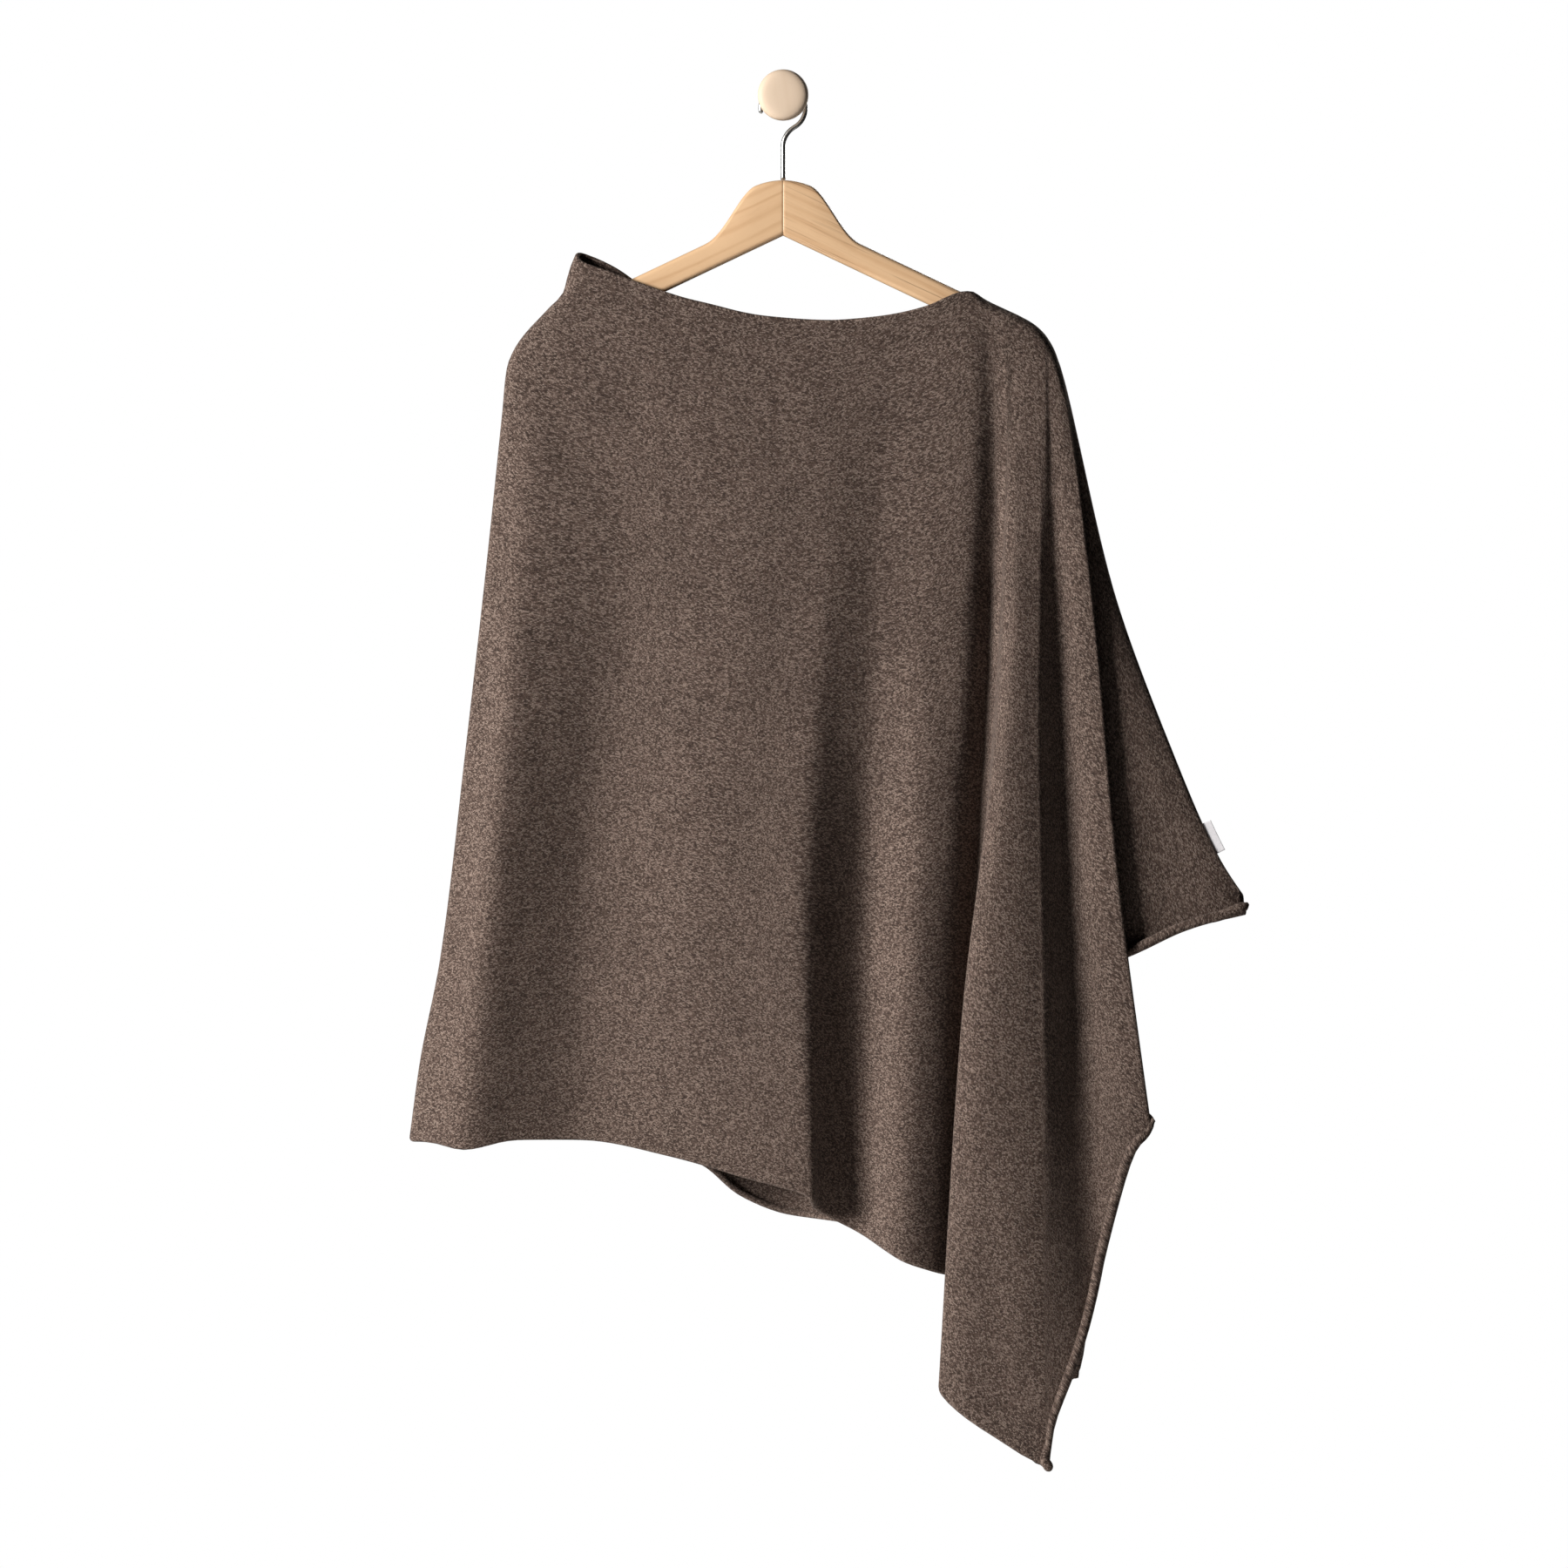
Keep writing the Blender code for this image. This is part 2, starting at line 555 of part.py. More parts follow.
# The woven tab in the seam: how far down the side it starts, its length along the seam, how far it
# stands out and how thick the folded tape is, in mm
LABEL_TOP_Z = -583
LABEL_LENGTH = 25
LABEL_WIDTH = 7
LABEL_THICK = 1.0


def add_label(collection):
    """The blank tab: folded tape standing out from the seam, along the seam's slope there."""
    along, edge = top_edge(NECK_FRONT)
    start = np.interp(-LABEL_TOP_Z, -edge[len(NECK_FRONT) :, 1], along[len(NECK_FRONT) :])
    ends = smooth_curve(along, edge, np.array((start, start + LABEL_LENGTH)))
    reach = ends[1] - ends[0]
    slope = math.atan2(-reach[1], reach[0])
    bpy.ops.mesh.primitive_cube_add(size=1)
    label = bpy.context.object
    label.name = "label"
    label.data.name = "label"
    label.data.transform(Matrix.Diagonal((LABEL_LENGTH * MM, LABEL_THICK * MM, LABEL_WIDTH * MM, 1)))
    off = WALL / 2 + TOUCH + LABEL_WIDTH / 2
    middle = ends.mean(0) + np.array((math.sin(slope), math.cos(slope))) * off
    label.location = (middle[0] * MM, HANGER_Y, middle[1] * MM)
    label.rotation_euler.y = slope
    for other in list(label.users_collection):
        other.objects.unlink(label)
    collection.objects.link(label)
    add_material(label, "label_tape", (0.8, 0.78, 0.8), 0.8)
    return label


def main():
    for obj in list(bpy.data.objects):
        bpy.data.objects.remove(obj)
    collection = bpy.data.collections.new("poncho_on_hanger")
    bpy.context.scene.collection.children.link(collection)
    add_panel(collection, "front_panel", True)
    add_panel(collection, "back_panel", False)
    add_hanger(collection)
    add_hook(collection)
    add_peg(collection)
    add_label(collection)


main()
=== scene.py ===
"""The finish of a knitted poncho on a wooden clothes hanger, hung from a round wall peg.

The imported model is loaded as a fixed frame, and each of its pieces is made again here as a finer surface:
the cloth as one sheet round the left fold, with its rolled edges and its seam, the tab, the hanger, the
hook and the peg. Shapes are worked out in mm and made in metres, +Z up. The wall is the plane Y = 0, and
the poncho hangs on its -Y side.
"""

import math
from typing import NamedTuple

import bpy
import numpy as np
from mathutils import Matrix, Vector


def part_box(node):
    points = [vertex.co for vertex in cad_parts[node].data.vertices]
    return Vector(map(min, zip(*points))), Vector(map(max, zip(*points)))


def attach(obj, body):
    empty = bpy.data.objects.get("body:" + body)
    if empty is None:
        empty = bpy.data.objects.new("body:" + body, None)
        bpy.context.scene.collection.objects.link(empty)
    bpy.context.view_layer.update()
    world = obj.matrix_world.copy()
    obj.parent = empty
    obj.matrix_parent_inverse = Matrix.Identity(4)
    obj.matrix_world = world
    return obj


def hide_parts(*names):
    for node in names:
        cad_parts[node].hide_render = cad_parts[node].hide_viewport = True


bl_info = {
    "name": "Knitted poncho on a hanger",
    "version": (1, 0, 0),
    "blender": (4, 5, 0),
    "location": "3D View > Sidebar > Poncho",
    "description": "Makes a fine-knit poncho with rolled edges on a wooden hanger and a wall peg",
    "category": "Add Mesh",
}

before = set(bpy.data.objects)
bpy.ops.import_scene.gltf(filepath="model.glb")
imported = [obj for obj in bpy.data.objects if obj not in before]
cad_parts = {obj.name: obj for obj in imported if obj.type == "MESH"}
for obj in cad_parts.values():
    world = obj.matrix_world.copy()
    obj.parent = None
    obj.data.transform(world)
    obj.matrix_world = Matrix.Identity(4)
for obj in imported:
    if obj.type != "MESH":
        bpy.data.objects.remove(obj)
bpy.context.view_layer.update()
MM = 0.001

# Where the frame's pieces stand: the low and the high corner of each one's box, in mm
HANGER_LOW, HANGER_HIGH = np.array(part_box("hanger")) / MM
HOOK_LOW, HOOK_HIGH = np.array(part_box("hook")) / MM
LABEL_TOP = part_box("label")[1][2] / MM
HANGER_Y = (HANGER_LOW[1] + HANGER_HIGH[1]) / 2
HANGER_THICK = HANGER_HIGH[1] - HANGER_LOW[1]
WIRE = HOOK_HIGH[1] - HOOK_LOW[1]

# The flat cut of the cloth, in mm: half its length, from the fold to the free end, and its depth
HALF_LENGTH = 900
DEPTH = 700
NECK_END = 339  # along the top edge, where the neck opening ends and the seam starts
SEAM_CLOSED = 352  # where the two layers have closed over the hanger

# The stations of a fold line: how far down it they lie, as shares of its length
STATIONS = np.array((0.0, 0.13, 1 / 3, 2 / 3, 1.0))
# A line as a row of numbers: its start and its roll, then x, height and out at the five stations
X_PART, HEIGHT_PART, OUT_PART = slice(2, 7), slice(7, 12), slice(12, 17)
INNER_PARTS = (slice(3, 7), slice(13, 17))  # x and out, but not at the top
ROW_SIZE = 17
# Where the row has x, height and out of four of the stations
AT_TOP, AT_YOKE, AT_LOW, AT_FOOT = (2, 7, 12), (3, 8, 13), (5, 10, 15), (6, 11, 16)


class EdgePoint(NamedTuple):
    """A point of an edge or of the fold, in mm."""

    x: float
    z: float


def edge_points(*points):
    """The edge points of pairs of x and z, in their order along the edge."""
    return tuple(EdgePoint(*point) for point in points)


class FoldLine(NamedTuple):
    """A line down the cloth, in mm: where it starts along the top edge, where it runs and how it ends.

    x has its place across at the yoke, a third and two thirds of the way down, and at its foot.
    out has how far the cloth stands before the hanger's middle at the top and at those four.
    bend is the radius of a sharp turn of the cloth along this line, and 0 where there is none.
    roll is how strongly the edge rolls at its foot: outwards above 0, with 4 full, and inwards below 0,
    with -3 full.
    """

    name: str
    start: float
    x: tuple
    foot_z: float
    out: tuple
    bend: float
    roll: float


def fold_lines(*rows):
    """The fold lines of rows of their values, from the left fold to the seam's end."""
    return tuple(FoldLine(*row) for row in rows)


# The left fold: the radius on which the cloth turns, at the neck and at the foot, the lines' angles
# round it, and its path from the neck down over the hanger's end to the lower hem
FOLD_RADIUS = (8, 14)  # mm
FOLD_ANGLES = (-90, -45, 0, 45, 90)  # degrees, from the back to the front
FOLD_ROLL = -3
LEFT_FOLD = edge_points(
    (-167, -126.5), (-172, -139), (-178, -159.5), (-185, -166), (-194, -175.5), (-208, -190.5),
    (-216, -202), (-222, -217), (-226, -255), (-236.5, -356), (-255.5, -524), (-276, -692),
    (-292.5, -776), (-301, -838),
)
# The neck's edge from the fold to the end of the opening, then the seam from there to the open corner
NECK_FRONT = edge_points(
    (-167, -126.5), (-164, -129.5), (-153, -136), (-124, -148), (-76, -164), (-20, -178),
    (36, -182), (79, -178.5), (123, -167), (138, -159.5),
)
NECK_BACK = edge_points(
    (-167, -126.5), (-164, -125.5), (-153, -127.5), (-124, -147), (-76, -170), (-20, -183),
    (40, -187), (106, -177), (138, -160),
)
SEAM = edge_points(
    (148, -155.8), (160, -162), (176, -169.6), (198, -180.4), (207, -187.5), (213, -195),
    (217.5, -203), (224, -222), (236, -272), (254, -357), (301, -496), (359, -627), (374, -647),
)

FRONT_LINES = fold_lines(
    ("left_crest", 30, (-193, -209, -232, -256), -844, (9, 12, 19, 30, 33), 0, -3),
    ("left_flank", 48, (-165, -170, -194, -213), -836.5, (9.5, 11.5, 14.5, 18.5, 19.5), 0, -3),
    ("left_valley", 70, (-130, -128, -150, -161), -837, (10, 11, 10, 7, 7), 0, -3),
    ("chest_crest", 112, (-84, -88, -92, -94), -849, (10, 13, 15, 17, 18), 0, -3),
    ("chest_middle", 168, (-24, -26, -30, -36), -865, (10, 14, 19, 25, 28), 0, -3),
    ("chest_edge", 222, (33, 28, 16, 24), -884, (10, 13, 19, 31, 34), 0, -2),
    ("second_turn", 244, (52, 49, 39, 27), -892, (10, 12, 15, 15, 17), 0, -2),
    ("second_valley", 262, (72, 74, 63, 56), -909, (10, 11.5, 10, 2, 1.5), 0, -2),
    ("second_crest", 305, (126, 120, 105, 95), -933, (10, 12, 16, 27, 29), 0, -3),
    ("neck_end", 339, (153, 147, 131, 121), -942, (9, 12.5, 16, 19, 20), 0, -2.5),
    ("third_valley", 357, (169, 165, 152, 145), -950, (9, 6.5, 1, 0, 0.5), 0, -1.5),
    ("third_turn", 370, (177, 172, 160, 174), -975, (9, 8.5, 6, 6, 6), 3, -1.5),
    ("sleeve_edge", 384, (184, 176, 141, 123), -1035, (9, 11.5, 21, 28, 29), 4, -2),
    ("sleeve_crest", 397, (193, 183, 160, 148), -1059.5, (9, 13.5, 28, 38, 38), 0, -3),
    ("corner_before", 402, (200, 193, 183, 180), -1080, (9, 14, 27, 36.5, 37.5), 0, -3),
    ("corner", 406, (205, 201, 204, 210), -1099.5, (9, 14, 25, 33, 36), 0, 1),
    ("corner_near", 407.8, (207, 205, 209, 212), -1078, (9, 13.7, 23, 31.5, 35.8), 0, 3.5),
    ("corner_side", 410.5, (210, 211, 220, 231), -1026, (9, 13, 15, 20, 32), 0, 5),
    ("fourth_valley", 415, (215, 221, 232, 254), -945, (9, 10, 8, 7.5, 17), 0, 5),
    ("arm_crest", 426, (226, 240, 255, 284), -846, (8, 12.5, 17, 20, 24), 0, 5),
    ("arm_edge", 440, (235, 250, 269, 295.5), -829, (7, 12.5, 18.5, 22, 24), 5, 2.2),
    ("arm_return", 455, (235.5, 243, 250, 270), -801, (6, 8, 8, 8, 9), 0, 2),
    ("arm_turn", 474, (236, 228, 206, 186), -741, (6, 5, 2, 1.5, 1.5), 4, 2),
    ("arm_under", 504, (239, 238, 236, 230), -711, (5, 4, 3, 3, 3), 0, 2),
    ("wing_middle", 620, (268, 272, 279, 284), -687, (5, 6.5, 8, 8.5, 8), 0, 5),
    ("wing_outer", 755, (313, 315, 318, 320), -670, (5, 5, 6, 6, 5.5), 0, 5),
    ("wing_side", 858, (354, 354.5, 354.5, 354), -660, (5, 5, 5, 5, 5), 0, 5),
    ("seam_end", 888, (369, 369.5, 369.8, 369.5), -654, (0, 0, 0, 0, 0), 0, 4),
)
BACK_LINES = fold_lines(
    ("left_crest", 32, (-194, -211, -240, -266), -838, (-9, -11, -15, -18, -20), 0, -3),
    ("left_valley", 66, (-135, -156, -181, -201), -832, (-10, -11, -10, -8, -8), 0, -3),
    ("first_crest", 116, (-84, -101, -119, -136), -834, (-10, -14, -21, -29, -32), 0, -3),
    ("first_valley", 168, (-28, -38, -50, -65), -858, (-10, -13, -15, -16, -16), 0, -3),
    ("first_turn", 194, (2, -7, -18, -36), -883, (-10, -13.5, -19, -24, -26), 0, -3),
    ("middle_crest", 224, (31, 24, 15, 4), -899, (-10, -14, -23, -32, -35), 0, -3),
    ("middle_valley", 266, (71, 65, 55, 48), -904, (-10, -12, -12, -10, -9), 0, -3),
    ("second_crest", 307, (121, 112, 101, 92), -926, (-10, -14, -23, -30, -32), 0, -3),
    ("neck_end", 339, (147, 137, 127, 119), -938, (-9, -12, -14, -15, -16), 0, -2.5),
    ("third_valley", 357, (161, 149, 139, 130), -945, (-9, -9, -5, -4, -4), 0, -1.5),
    ("third_turn", 370, (173, 163, 162, 168), -965, (-9, -10, -9.5, -9.5, -9.5), 4, -1.5),
    ("sleeve_edge", 384, (180, 172, 150, 140), -990, (-9, -12, -15, -18, -18), 4, -2),
    ("sleeve_crest", 396, (191, 188, 182, 186), -1010, (-9, -16, -26, -30, -30), 0, -3),
    ("corner", 405, (204, 206, 216, 232), -1035, (-9, -16, -25, -29, -27), 0, 1),
    ("fourth_valley", 416, (214, 221, 234, 251), -937, (-8, -15, -21, -25, -27), 0, 4),
    ("arm_edge", 438, (234, 246, 260, 278), -814, (-7, -16, -23, -28, -28), 5, 3),
    ("arm_return", 454, (235, 241, 243, 250), -783, (-6, -11, -16, -18, -19), 0, 2),
    ("arm_turn", 474, (236, 226, 204, 181), -742, (-6, -8, -9, -11, -12), 4, 2),
    ("arm_under", 506, (239, 237, 233, 225), -706, (-5, -4, -4, -4, -4), 0, 2),
    ("wing_middle", 620, (268, 272, 278, 283), -682, (-5, -6, -7, -7, -6), 0, 4),
    ("wing_outer", 755, (313, 315, 317, 319), -665, (-5, -5, -6, -6, -5), 0, 4),
    ("wing_side", 858, (354, 354.5, 354.5, 354), -658, (-4.5, -4.5, -4.5, -4.5, -4.5), 0, 4),
    ("seam_end", 888, (369, 369.5, 369.8, 369.5), -653, (0, 0, 0, 0, 0), 0, 4),
)

# The grid of the cloth: columns from line to line, and rows under the top edge, over the yoke, down the
# middle and above the lower edge. The rows are in mm from the edge or from the last of the rows before.
COLUMN_WIDTH = 6.4  # mm, the most from column to column
LEAST_COLUMNS = 3  # between two neighbouring lines
TOP_ROWS = 9 * np.linspace(0, 1, 7) ** 1.5
YOKE_ROWS = np.linspace(10, 115, 20)
FOOT_ROWS = np.linspace(9, 0, 5)
MIDDLE_ROWS = 62
TOP_SHARE = 0.12  # of a line's length, the most that the top rows take up
YOKE_SHARE = 0.4  # where the yoke's rows end at the latest
FOOT_SHARE = 0.3  # the most that the rows above the lower edge take up
LEAST_SLANT = 0.22  # the least sine of the angle between a line and an edge that slant gives
MOST_STEP = 0.4  # of the gap to the next line, the most that a bend reaches
SOFTEN = 4.0  # mm, how far the cloth's stiffness evens out its turns

# The rolls: the strengths of a full one, the least radius in mm and the most that a radius may grow
FULL_ROLL_OUT = 4
FULL_ROLL_IN = 3
LEAST_ROLL = 0.8
MOST_SHARE = 1.25


def length_setting(name, description, default):
    """A length that a user may change."""
    return bpy.props.FloatProperty(name=name, description=description, default=default, unit="LENGTH")


def colour_setting(name, description, default):
    """A colour that a user may change."""
    return bpy.props.FloatVectorProperty(
        name=name, description=description, default=default, subtype="COLOR", min=0, max=1
    )


class ClothSettings(bpy.types.PropertyGroup):
    """Sizes and colours of the knit."""

    wall: length_setting("Cloth thickness", "Thickness of the knit", 1.3 * MM)
    wale: length_setting("Wale width", "From one column of stitches to the next", 1.8 * MM)
    course: length_setting("Stitch height", "From one stitch to the next along a wale", 1.45 * MM)
    hem_roll: length_setting("Hem roll", "Radius of the lower edge's inward roll", 2.6 * MM)
    side_roll: length_setting("Free edge roll", "Radius of the free end's outward roll", 3.5 * MM)
    neck_roll: length_setting("Neck roll", "Radius of the neck edge's inward roll", 1.3 * MM)
    yarn: colour_setting("Yarn", "Main colour of the yarn", (0.132, 0.089, 0.072))
    light_fibre: colour_setting("Light fibres", "Colour of the yarn's light fibres", (0.355, 0.268, 0.222))
    dark_fibre: colour_setting("Dark fibres", "Colour of the yarn's dark fibres", (0.036, 0.025, 0.021))


class WoodSettings(bpy.types.PropertyGroup):
    """Colours of the hanger and the peg, and of the hook's steel."""

    beech: colour_setting("Hanger", "Colour of the hanger's wood", (0.85, 0.56, 0.325))
    beech_grain: colour_setting("Hanger grain", "Colour of the hanger's grain", (0.66, 0.385, 0.195))
    peg: colour_setting("Peg", "Colour of the peg's wood", (0.84, 0.655, 0.49))
    peg_grain: colour_setting("Peg grain", "Colour of the peg's grain", (0.77, 0.575, 0.41))
    steel: colour_setting("Hook", "Colour of the hook's steel", (0.62, 0.62, 0.60))


class StageSettings(bpy.types.PropertyGroup):
    """The camera and the lights."""

    view_width: length_setting("View width", "Width of the view at the poncho", 1.26)
    camera_distance: length_setting("Camera distance", "From the camera to the poncho", 6.0)
    key_power: bpy.props.FloatProperty(
        name="Key light", description="Power of the light on the left", default=214.0, unit="POWER"
    )
    fill_power: bpy.props.FloatProperty(
        name="Fill light", description="Power of the light on the right", default=0.4, unit="POWER"
    )
    room_light: bpy.props.FloatProperty(
        name="Room light", description="Strength of the light from all round", default=0.01,
        subtype="FACTOR", min=0, max=1,
    )


def smooth_curve(knots, values, at):
    """The smooth curve through values, one per knot, that never swings past them, read at `at`.

    It is a cubic between neighbouring knots. Its slope at a knot is a weighted mean of the slopes on
    both sides, and nought where the values turn. Each column of values is a curve of its own.
    """
    steps = np.diff(knots)[:, None]
    rises = np.diff(values, axis=0) / steps
    before, after = rises[:-1], rises[1:]
    near, far = 2 * steps[1:] + steps[:-1], steps[1:] + 2 * steps[:-1]
    same_way = before * after > 0
    safe_before, safe_after = np.where(same_way, before, 1), np.where(same_way, after, 1)
    inner = np.where(same_way, (near + far) / (near / safe_before + far / safe_after), 0)
    slopes = np.concatenate((rises[:1], inner, rises[-1:]))
    k = np.clip(np.searchsorted(knots, at, side="right") - 1, 0, len(knots) - 2)
    step = np.diff(knots)[k, None]
    u = (at[:, None] - knots[k, None]) / step
    low, high = values[k], values[k + 1]
    return (
        low * (1 + 2 * u) * (1 - u) ** 2
        + slopes[k] * step * u * (1 - u) ** 2
        + high * u * u * (3 - 2 * u)
        + slopes[k + 1] * step * u * u * (u - 1)
    )


def distances(points):
    """How far along the chain of points each one lies. Each row of a grid of points is a chain."""
    gaps = np.linalg.norm(np.diff(points, axis=-2), axis=-1)
    return np.concatenate((np.zeros_like(gaps[..., :1]), np.cumsum(gaps, -1)), -1)


def smooth_step(value, low, high):
    """0 below low, 1 above high, and a smooth S between them."""
    share = np.clip((value - low) / (high - low), 0, 1)
    return share * share * (3 - 2 * share)


def unit(vectors):
    """The vectors at length 1."""
    return vectors / np.linalg.norm(vectors, axis=-1, keepdims=True).clip(1e-9)


def top_edge(neck):
    """(distance along the edge, points) of a layer's top edge: its neck edge, then the seam.

    The neck's distances are stretched a little, so that the seam starts at NECK_END on both layers.
    """
    points = np.array(neck + SEAM, float)
    along = distances(points)
    seam = along[len(neck)]
    return np.where(along < seam, along * NECK_END / seam, along - seam + NECK_END), points


def line_rows(lines, neck):
    """A row for each fold line: start, roll, x at the five stations, z at them and out at them."""
    along, points = top_edge(neck)
    rows = []
    for line in lines:
        top = smooth_curve(along, points, np.array((line.start,), float))[0]
        height = top[1] + (line.foot_z - top[1]) * STATIONS
        rows.append((line.start, line.roll, top[0], *line.x, *height, *line.out))
    return np.array(rows, float)


def stepped(row, other, bend):
    """The row moved towards another, by the bend's radius or MOST_STEP of the gap if that is less."""
    gap = other - row
    share = min(MOST_STEP, bend / np.hypot(gap[X_PART], gap[OUT_PART]).mean())
    moved = row + share * gap
    for part in INNER_PARTS:
        moved[part] = row[part] + np.clip(MOST_STEP * gap[part], -bend, bend)
    return moved


def with_bends(rows, bends):
    """The rows with two more beside each line that has a bend, so that the cloth turns on that radius."""
    made = [rows[0]]
    for before, row, after, bend in zip(rows[:-2], rows[1:-1], rows[2:], bends[1:-1]):
        if bend:
            made.append(stepped(row, before, bend))
        made.append(row)
        if bend:
            made.append(stepped(row, after, bend))
    return np.array([*made, rows[-1]])


def slant(edge, down):
    """The sine of the angle between each line and the edge it meets, but not under LEAST_SLANT."""
    sine = np.linalg.norm(np.cross(edge, down), axis=1)
    sine /= np.linalg.norm(edge, axis=1) * np.linalg.norm(down, axis=1)
    return np.clip(sine, LEAST_SLANT, 1)


def line_grid(row, top_slant, foot_slant, foot_gap):
    """Points down a fold line as rows of x, z, out and the distance off the top edge.

    The last row stays foot_gap above the lower edge, where the edge's roll begins.
    """
    x, height, out = row[X_PART], row[HEIGHT_PART], row[OUT_PART]
    length = height[0] - height[-1]
    tops = TOP_ROWS * min(TOP_SHARE / TOP_ROWS[-1], 1 / (top_slant * length))
    yoke = tops[-1] + YOKE_ROWS * min((YOKE_SHARE - tops[-1]) / YOKE_ROWS[-1], 1 / length)
    feet = foot_gap + FOOT_ROWS
    fits = min(1, FOOT_SHARE * length * foot_slant / feet[0])
    feet = 1 - feet * fits / foot_slant / length
    inner = np.arange(1, MIDDLE_ROWS + 1) / (MIDDLE_ROWS + 1)
    share = np.concatenate((tops, yoke, yoke[-1] + inner * (feet[0] - yoke[-1]), feet))
    line = smooth_curve(STATIONS, np.stack((x, height, out), 1), share)
    return np.column_stack((line, share * length * top_slant))


def fold_row(neck, angle):
    """The row of a line on the left fold's turn: only its start, roll and heights are used."""
    row = np.zeros(ROW_SIZE)
    row[0] = FOLD_RADIUS[0] * abs(angle)
    row[1] = FOLD_ROLL
    along, points = top_edge(neck)
    top = smooth_curve(along, points, row[:1])[0, 1]
    row[HEIGHT_PART] = top + (LEFT_FOLD[-1].z - top) * STATIONS
    return row


def fold_grid(row, angle, foot_gap):
    """line_grid's points for a line on the turn of the left fold, at an angle from the fold's own line.

    It follows the fold's points, moved in on an arc whose radius grows from the neck to the foot.
    """
    grid = line_grid(row, 1, 1, foot_gap)
    path = np.array(LEFT_FOLD, float)
    down = (path[0, 1] - grid[:, 1]).clip(0)
    radius = FOLD_RADIUS[0] + (FOLD_RADIUS[1] - FOLD_RADIUS[0]) * down / (path[0, 1] - path[-1, 1])
    grid[:, 0] = smooth_curve(path[0, 1] - path[:, 1], path, down)[:, 0]
    grid[:, 0] += radius * (1 - math.cos(angle))
    grid[:, 2] = radius * math.sin(angle)
    return grid


def roll_share(roll):
    """How strongly each foot rolls, 1 being a full roll outwards or inwards."""
    return np.abs(roll) / np.where(roll > 0, FULL_ROLL_OUT, FULL_ROLL_IN)


def roll_radius(roll, settings):
    """The radius in mm on which the lower edge rolls: LEAST_ROLL with no roll, and the setting at full."""
    full = np.where(roll > 0, settings.side_roll, settings.hem_roll) / MM
    return LEAST_ROLL + (full - LEAST_ROLL) * np.clip(roll_share(roll), 0, MOST_SHARE)


def side_lines(lines, neck, settings):
    """(knot rows of start and roll, grids of points) of one layer's lines, from the fold to the seam."""
    rows = with_bends(line_rows(lines, neck), [line.bend for line in lines])
    feet, tops = rows[:, AT_FOOT], rows[:, AT_TOP]
    foot_slant = slant(np.gradient(feet, axis=0), feet - rows[:, AT_LOW])
    top_slant = slant(np.gradient(tops, axis=0), rows[:, AT_YOKE] - tops)
    gaps = roll_radius(rows[:, 1], settings)
    grids = [line_grid(*each) for each in zip(rows, top_slant, foot_slant, gaps)]
    return rows[:, :2], grids


def softened(points, at):
    """The columns evened out by a bell-shaped mean of their neighbours, less and less near both ends."""
    weight = np.exp(-(((at[:, None] - at[None]) / SOFTEN) ** 2) / 2) * np.gradient(at)
    weight /= weight.sum(1, keepdims=True)
    mean = np.tensordot(weight, points, 1)
    inside = smooth_step(np.minimum(at - at[0], at[-1] - at), 0, 4 * SOFTEN)
    return points + (mean - points) * inside[:, None, None]


def cloth_columns(settings):
    """The cloth's columns from the back's seam end round the fold to the front's.

    Returns (start, roll, points, off_top): the signed distance along the top edge, below 0 on the back,
    the roll strength, the grid of x, z, out in mm, and each point's distance below the top edge.
    """
    front, front_grids = side_lines(FRONT_LINES, NECK_FRONT, settings)
    back, back_grids = side_lines(BACK_LINES, NECK_BACK, settings)
    fold, fold_grids = [], []
    for degrees in FOLD_ANGLES:
        angle = math.radians(degrees)
        row = fold_row(NECK_FRONT if degrees >= 0 else NECK_BACK, angle)
        fold.append((math.copysign(row[0], angle), row[1]))
        fold_grids.append(fold_grid(row, angle, roll_radius(np.array(row[1]), settings)))
    values = np.concatenate((back[::-1] * (-1, 1), fold, front))
    grids = np.array([*back_grids[::-1], *fold_grids, *front_grids])

    gaps = np.linalg.norm(np.diff(grids[:, :, :3], axis=0), axis=2).mean(1)
    knots = np.concatenate(((0.0,), np.cumsum(gaps)))
    counts = np.ceil(gaps / COLUMN_WIDTH).astype(int).clip(LEAST_COLUMNS)
    at = np.concatenate([knots[:1]] + [
        np.linspace(near, far, count + 1)[1:] for near, far, count in zip(knots, knots[1:], counts)
    ])
    columns = smooth_curve(knots, np.concatenate((values, grids.reshape(len(knots), -1)), 1), at)
    start, roll = columns[:, 0], columns[:, 1]
    points = softened(columns[:, 2:].reshape(len(at), -1, 4), at)
    return start, roll, points[:, :, :3], points[:, :, 3]


# Past the hanger's end the layers lie flatter along the seam, and close over a longer way, in mm
FLAT_SEAM = (520, 640)
FLAT_REACH = 17


def closed_in(out, start, off_top):
    """(out, closing): out drawn in along the seam on a quarter circle, so that both layers meet.

    closing is 1 where a point has come all the way in to the hanger's middle plane, and 0 away from it.
    """
    reach = np.abs(out[:, :1]).clip(1)
    reach += (FLAT_REACH - reach).clip(0) * smooth_step(np.abs(start), *FLAT_SEAM)[:, None]
    quarter = np.sqrt(np.clip(1 - (1 - np.clip(off_top / reach, 0, 1)) ** 2, 0, 1))
    closing = smooth_step(np.abs(start), NECK_END, SEAM_CLOSED)[:, None] * (1 - quarter)
    closing[[0, -1]] = 1
    return out * (1 - closing), closing


class Ripple(NamedTuple):
    """A soft trough or ridge in the cloth, in mm: its two ends in the picture, half width and height."""

    name: str
    side: int
    x0: float
    z0: float
    x1: float
    z1: float
    width: float
    height: float


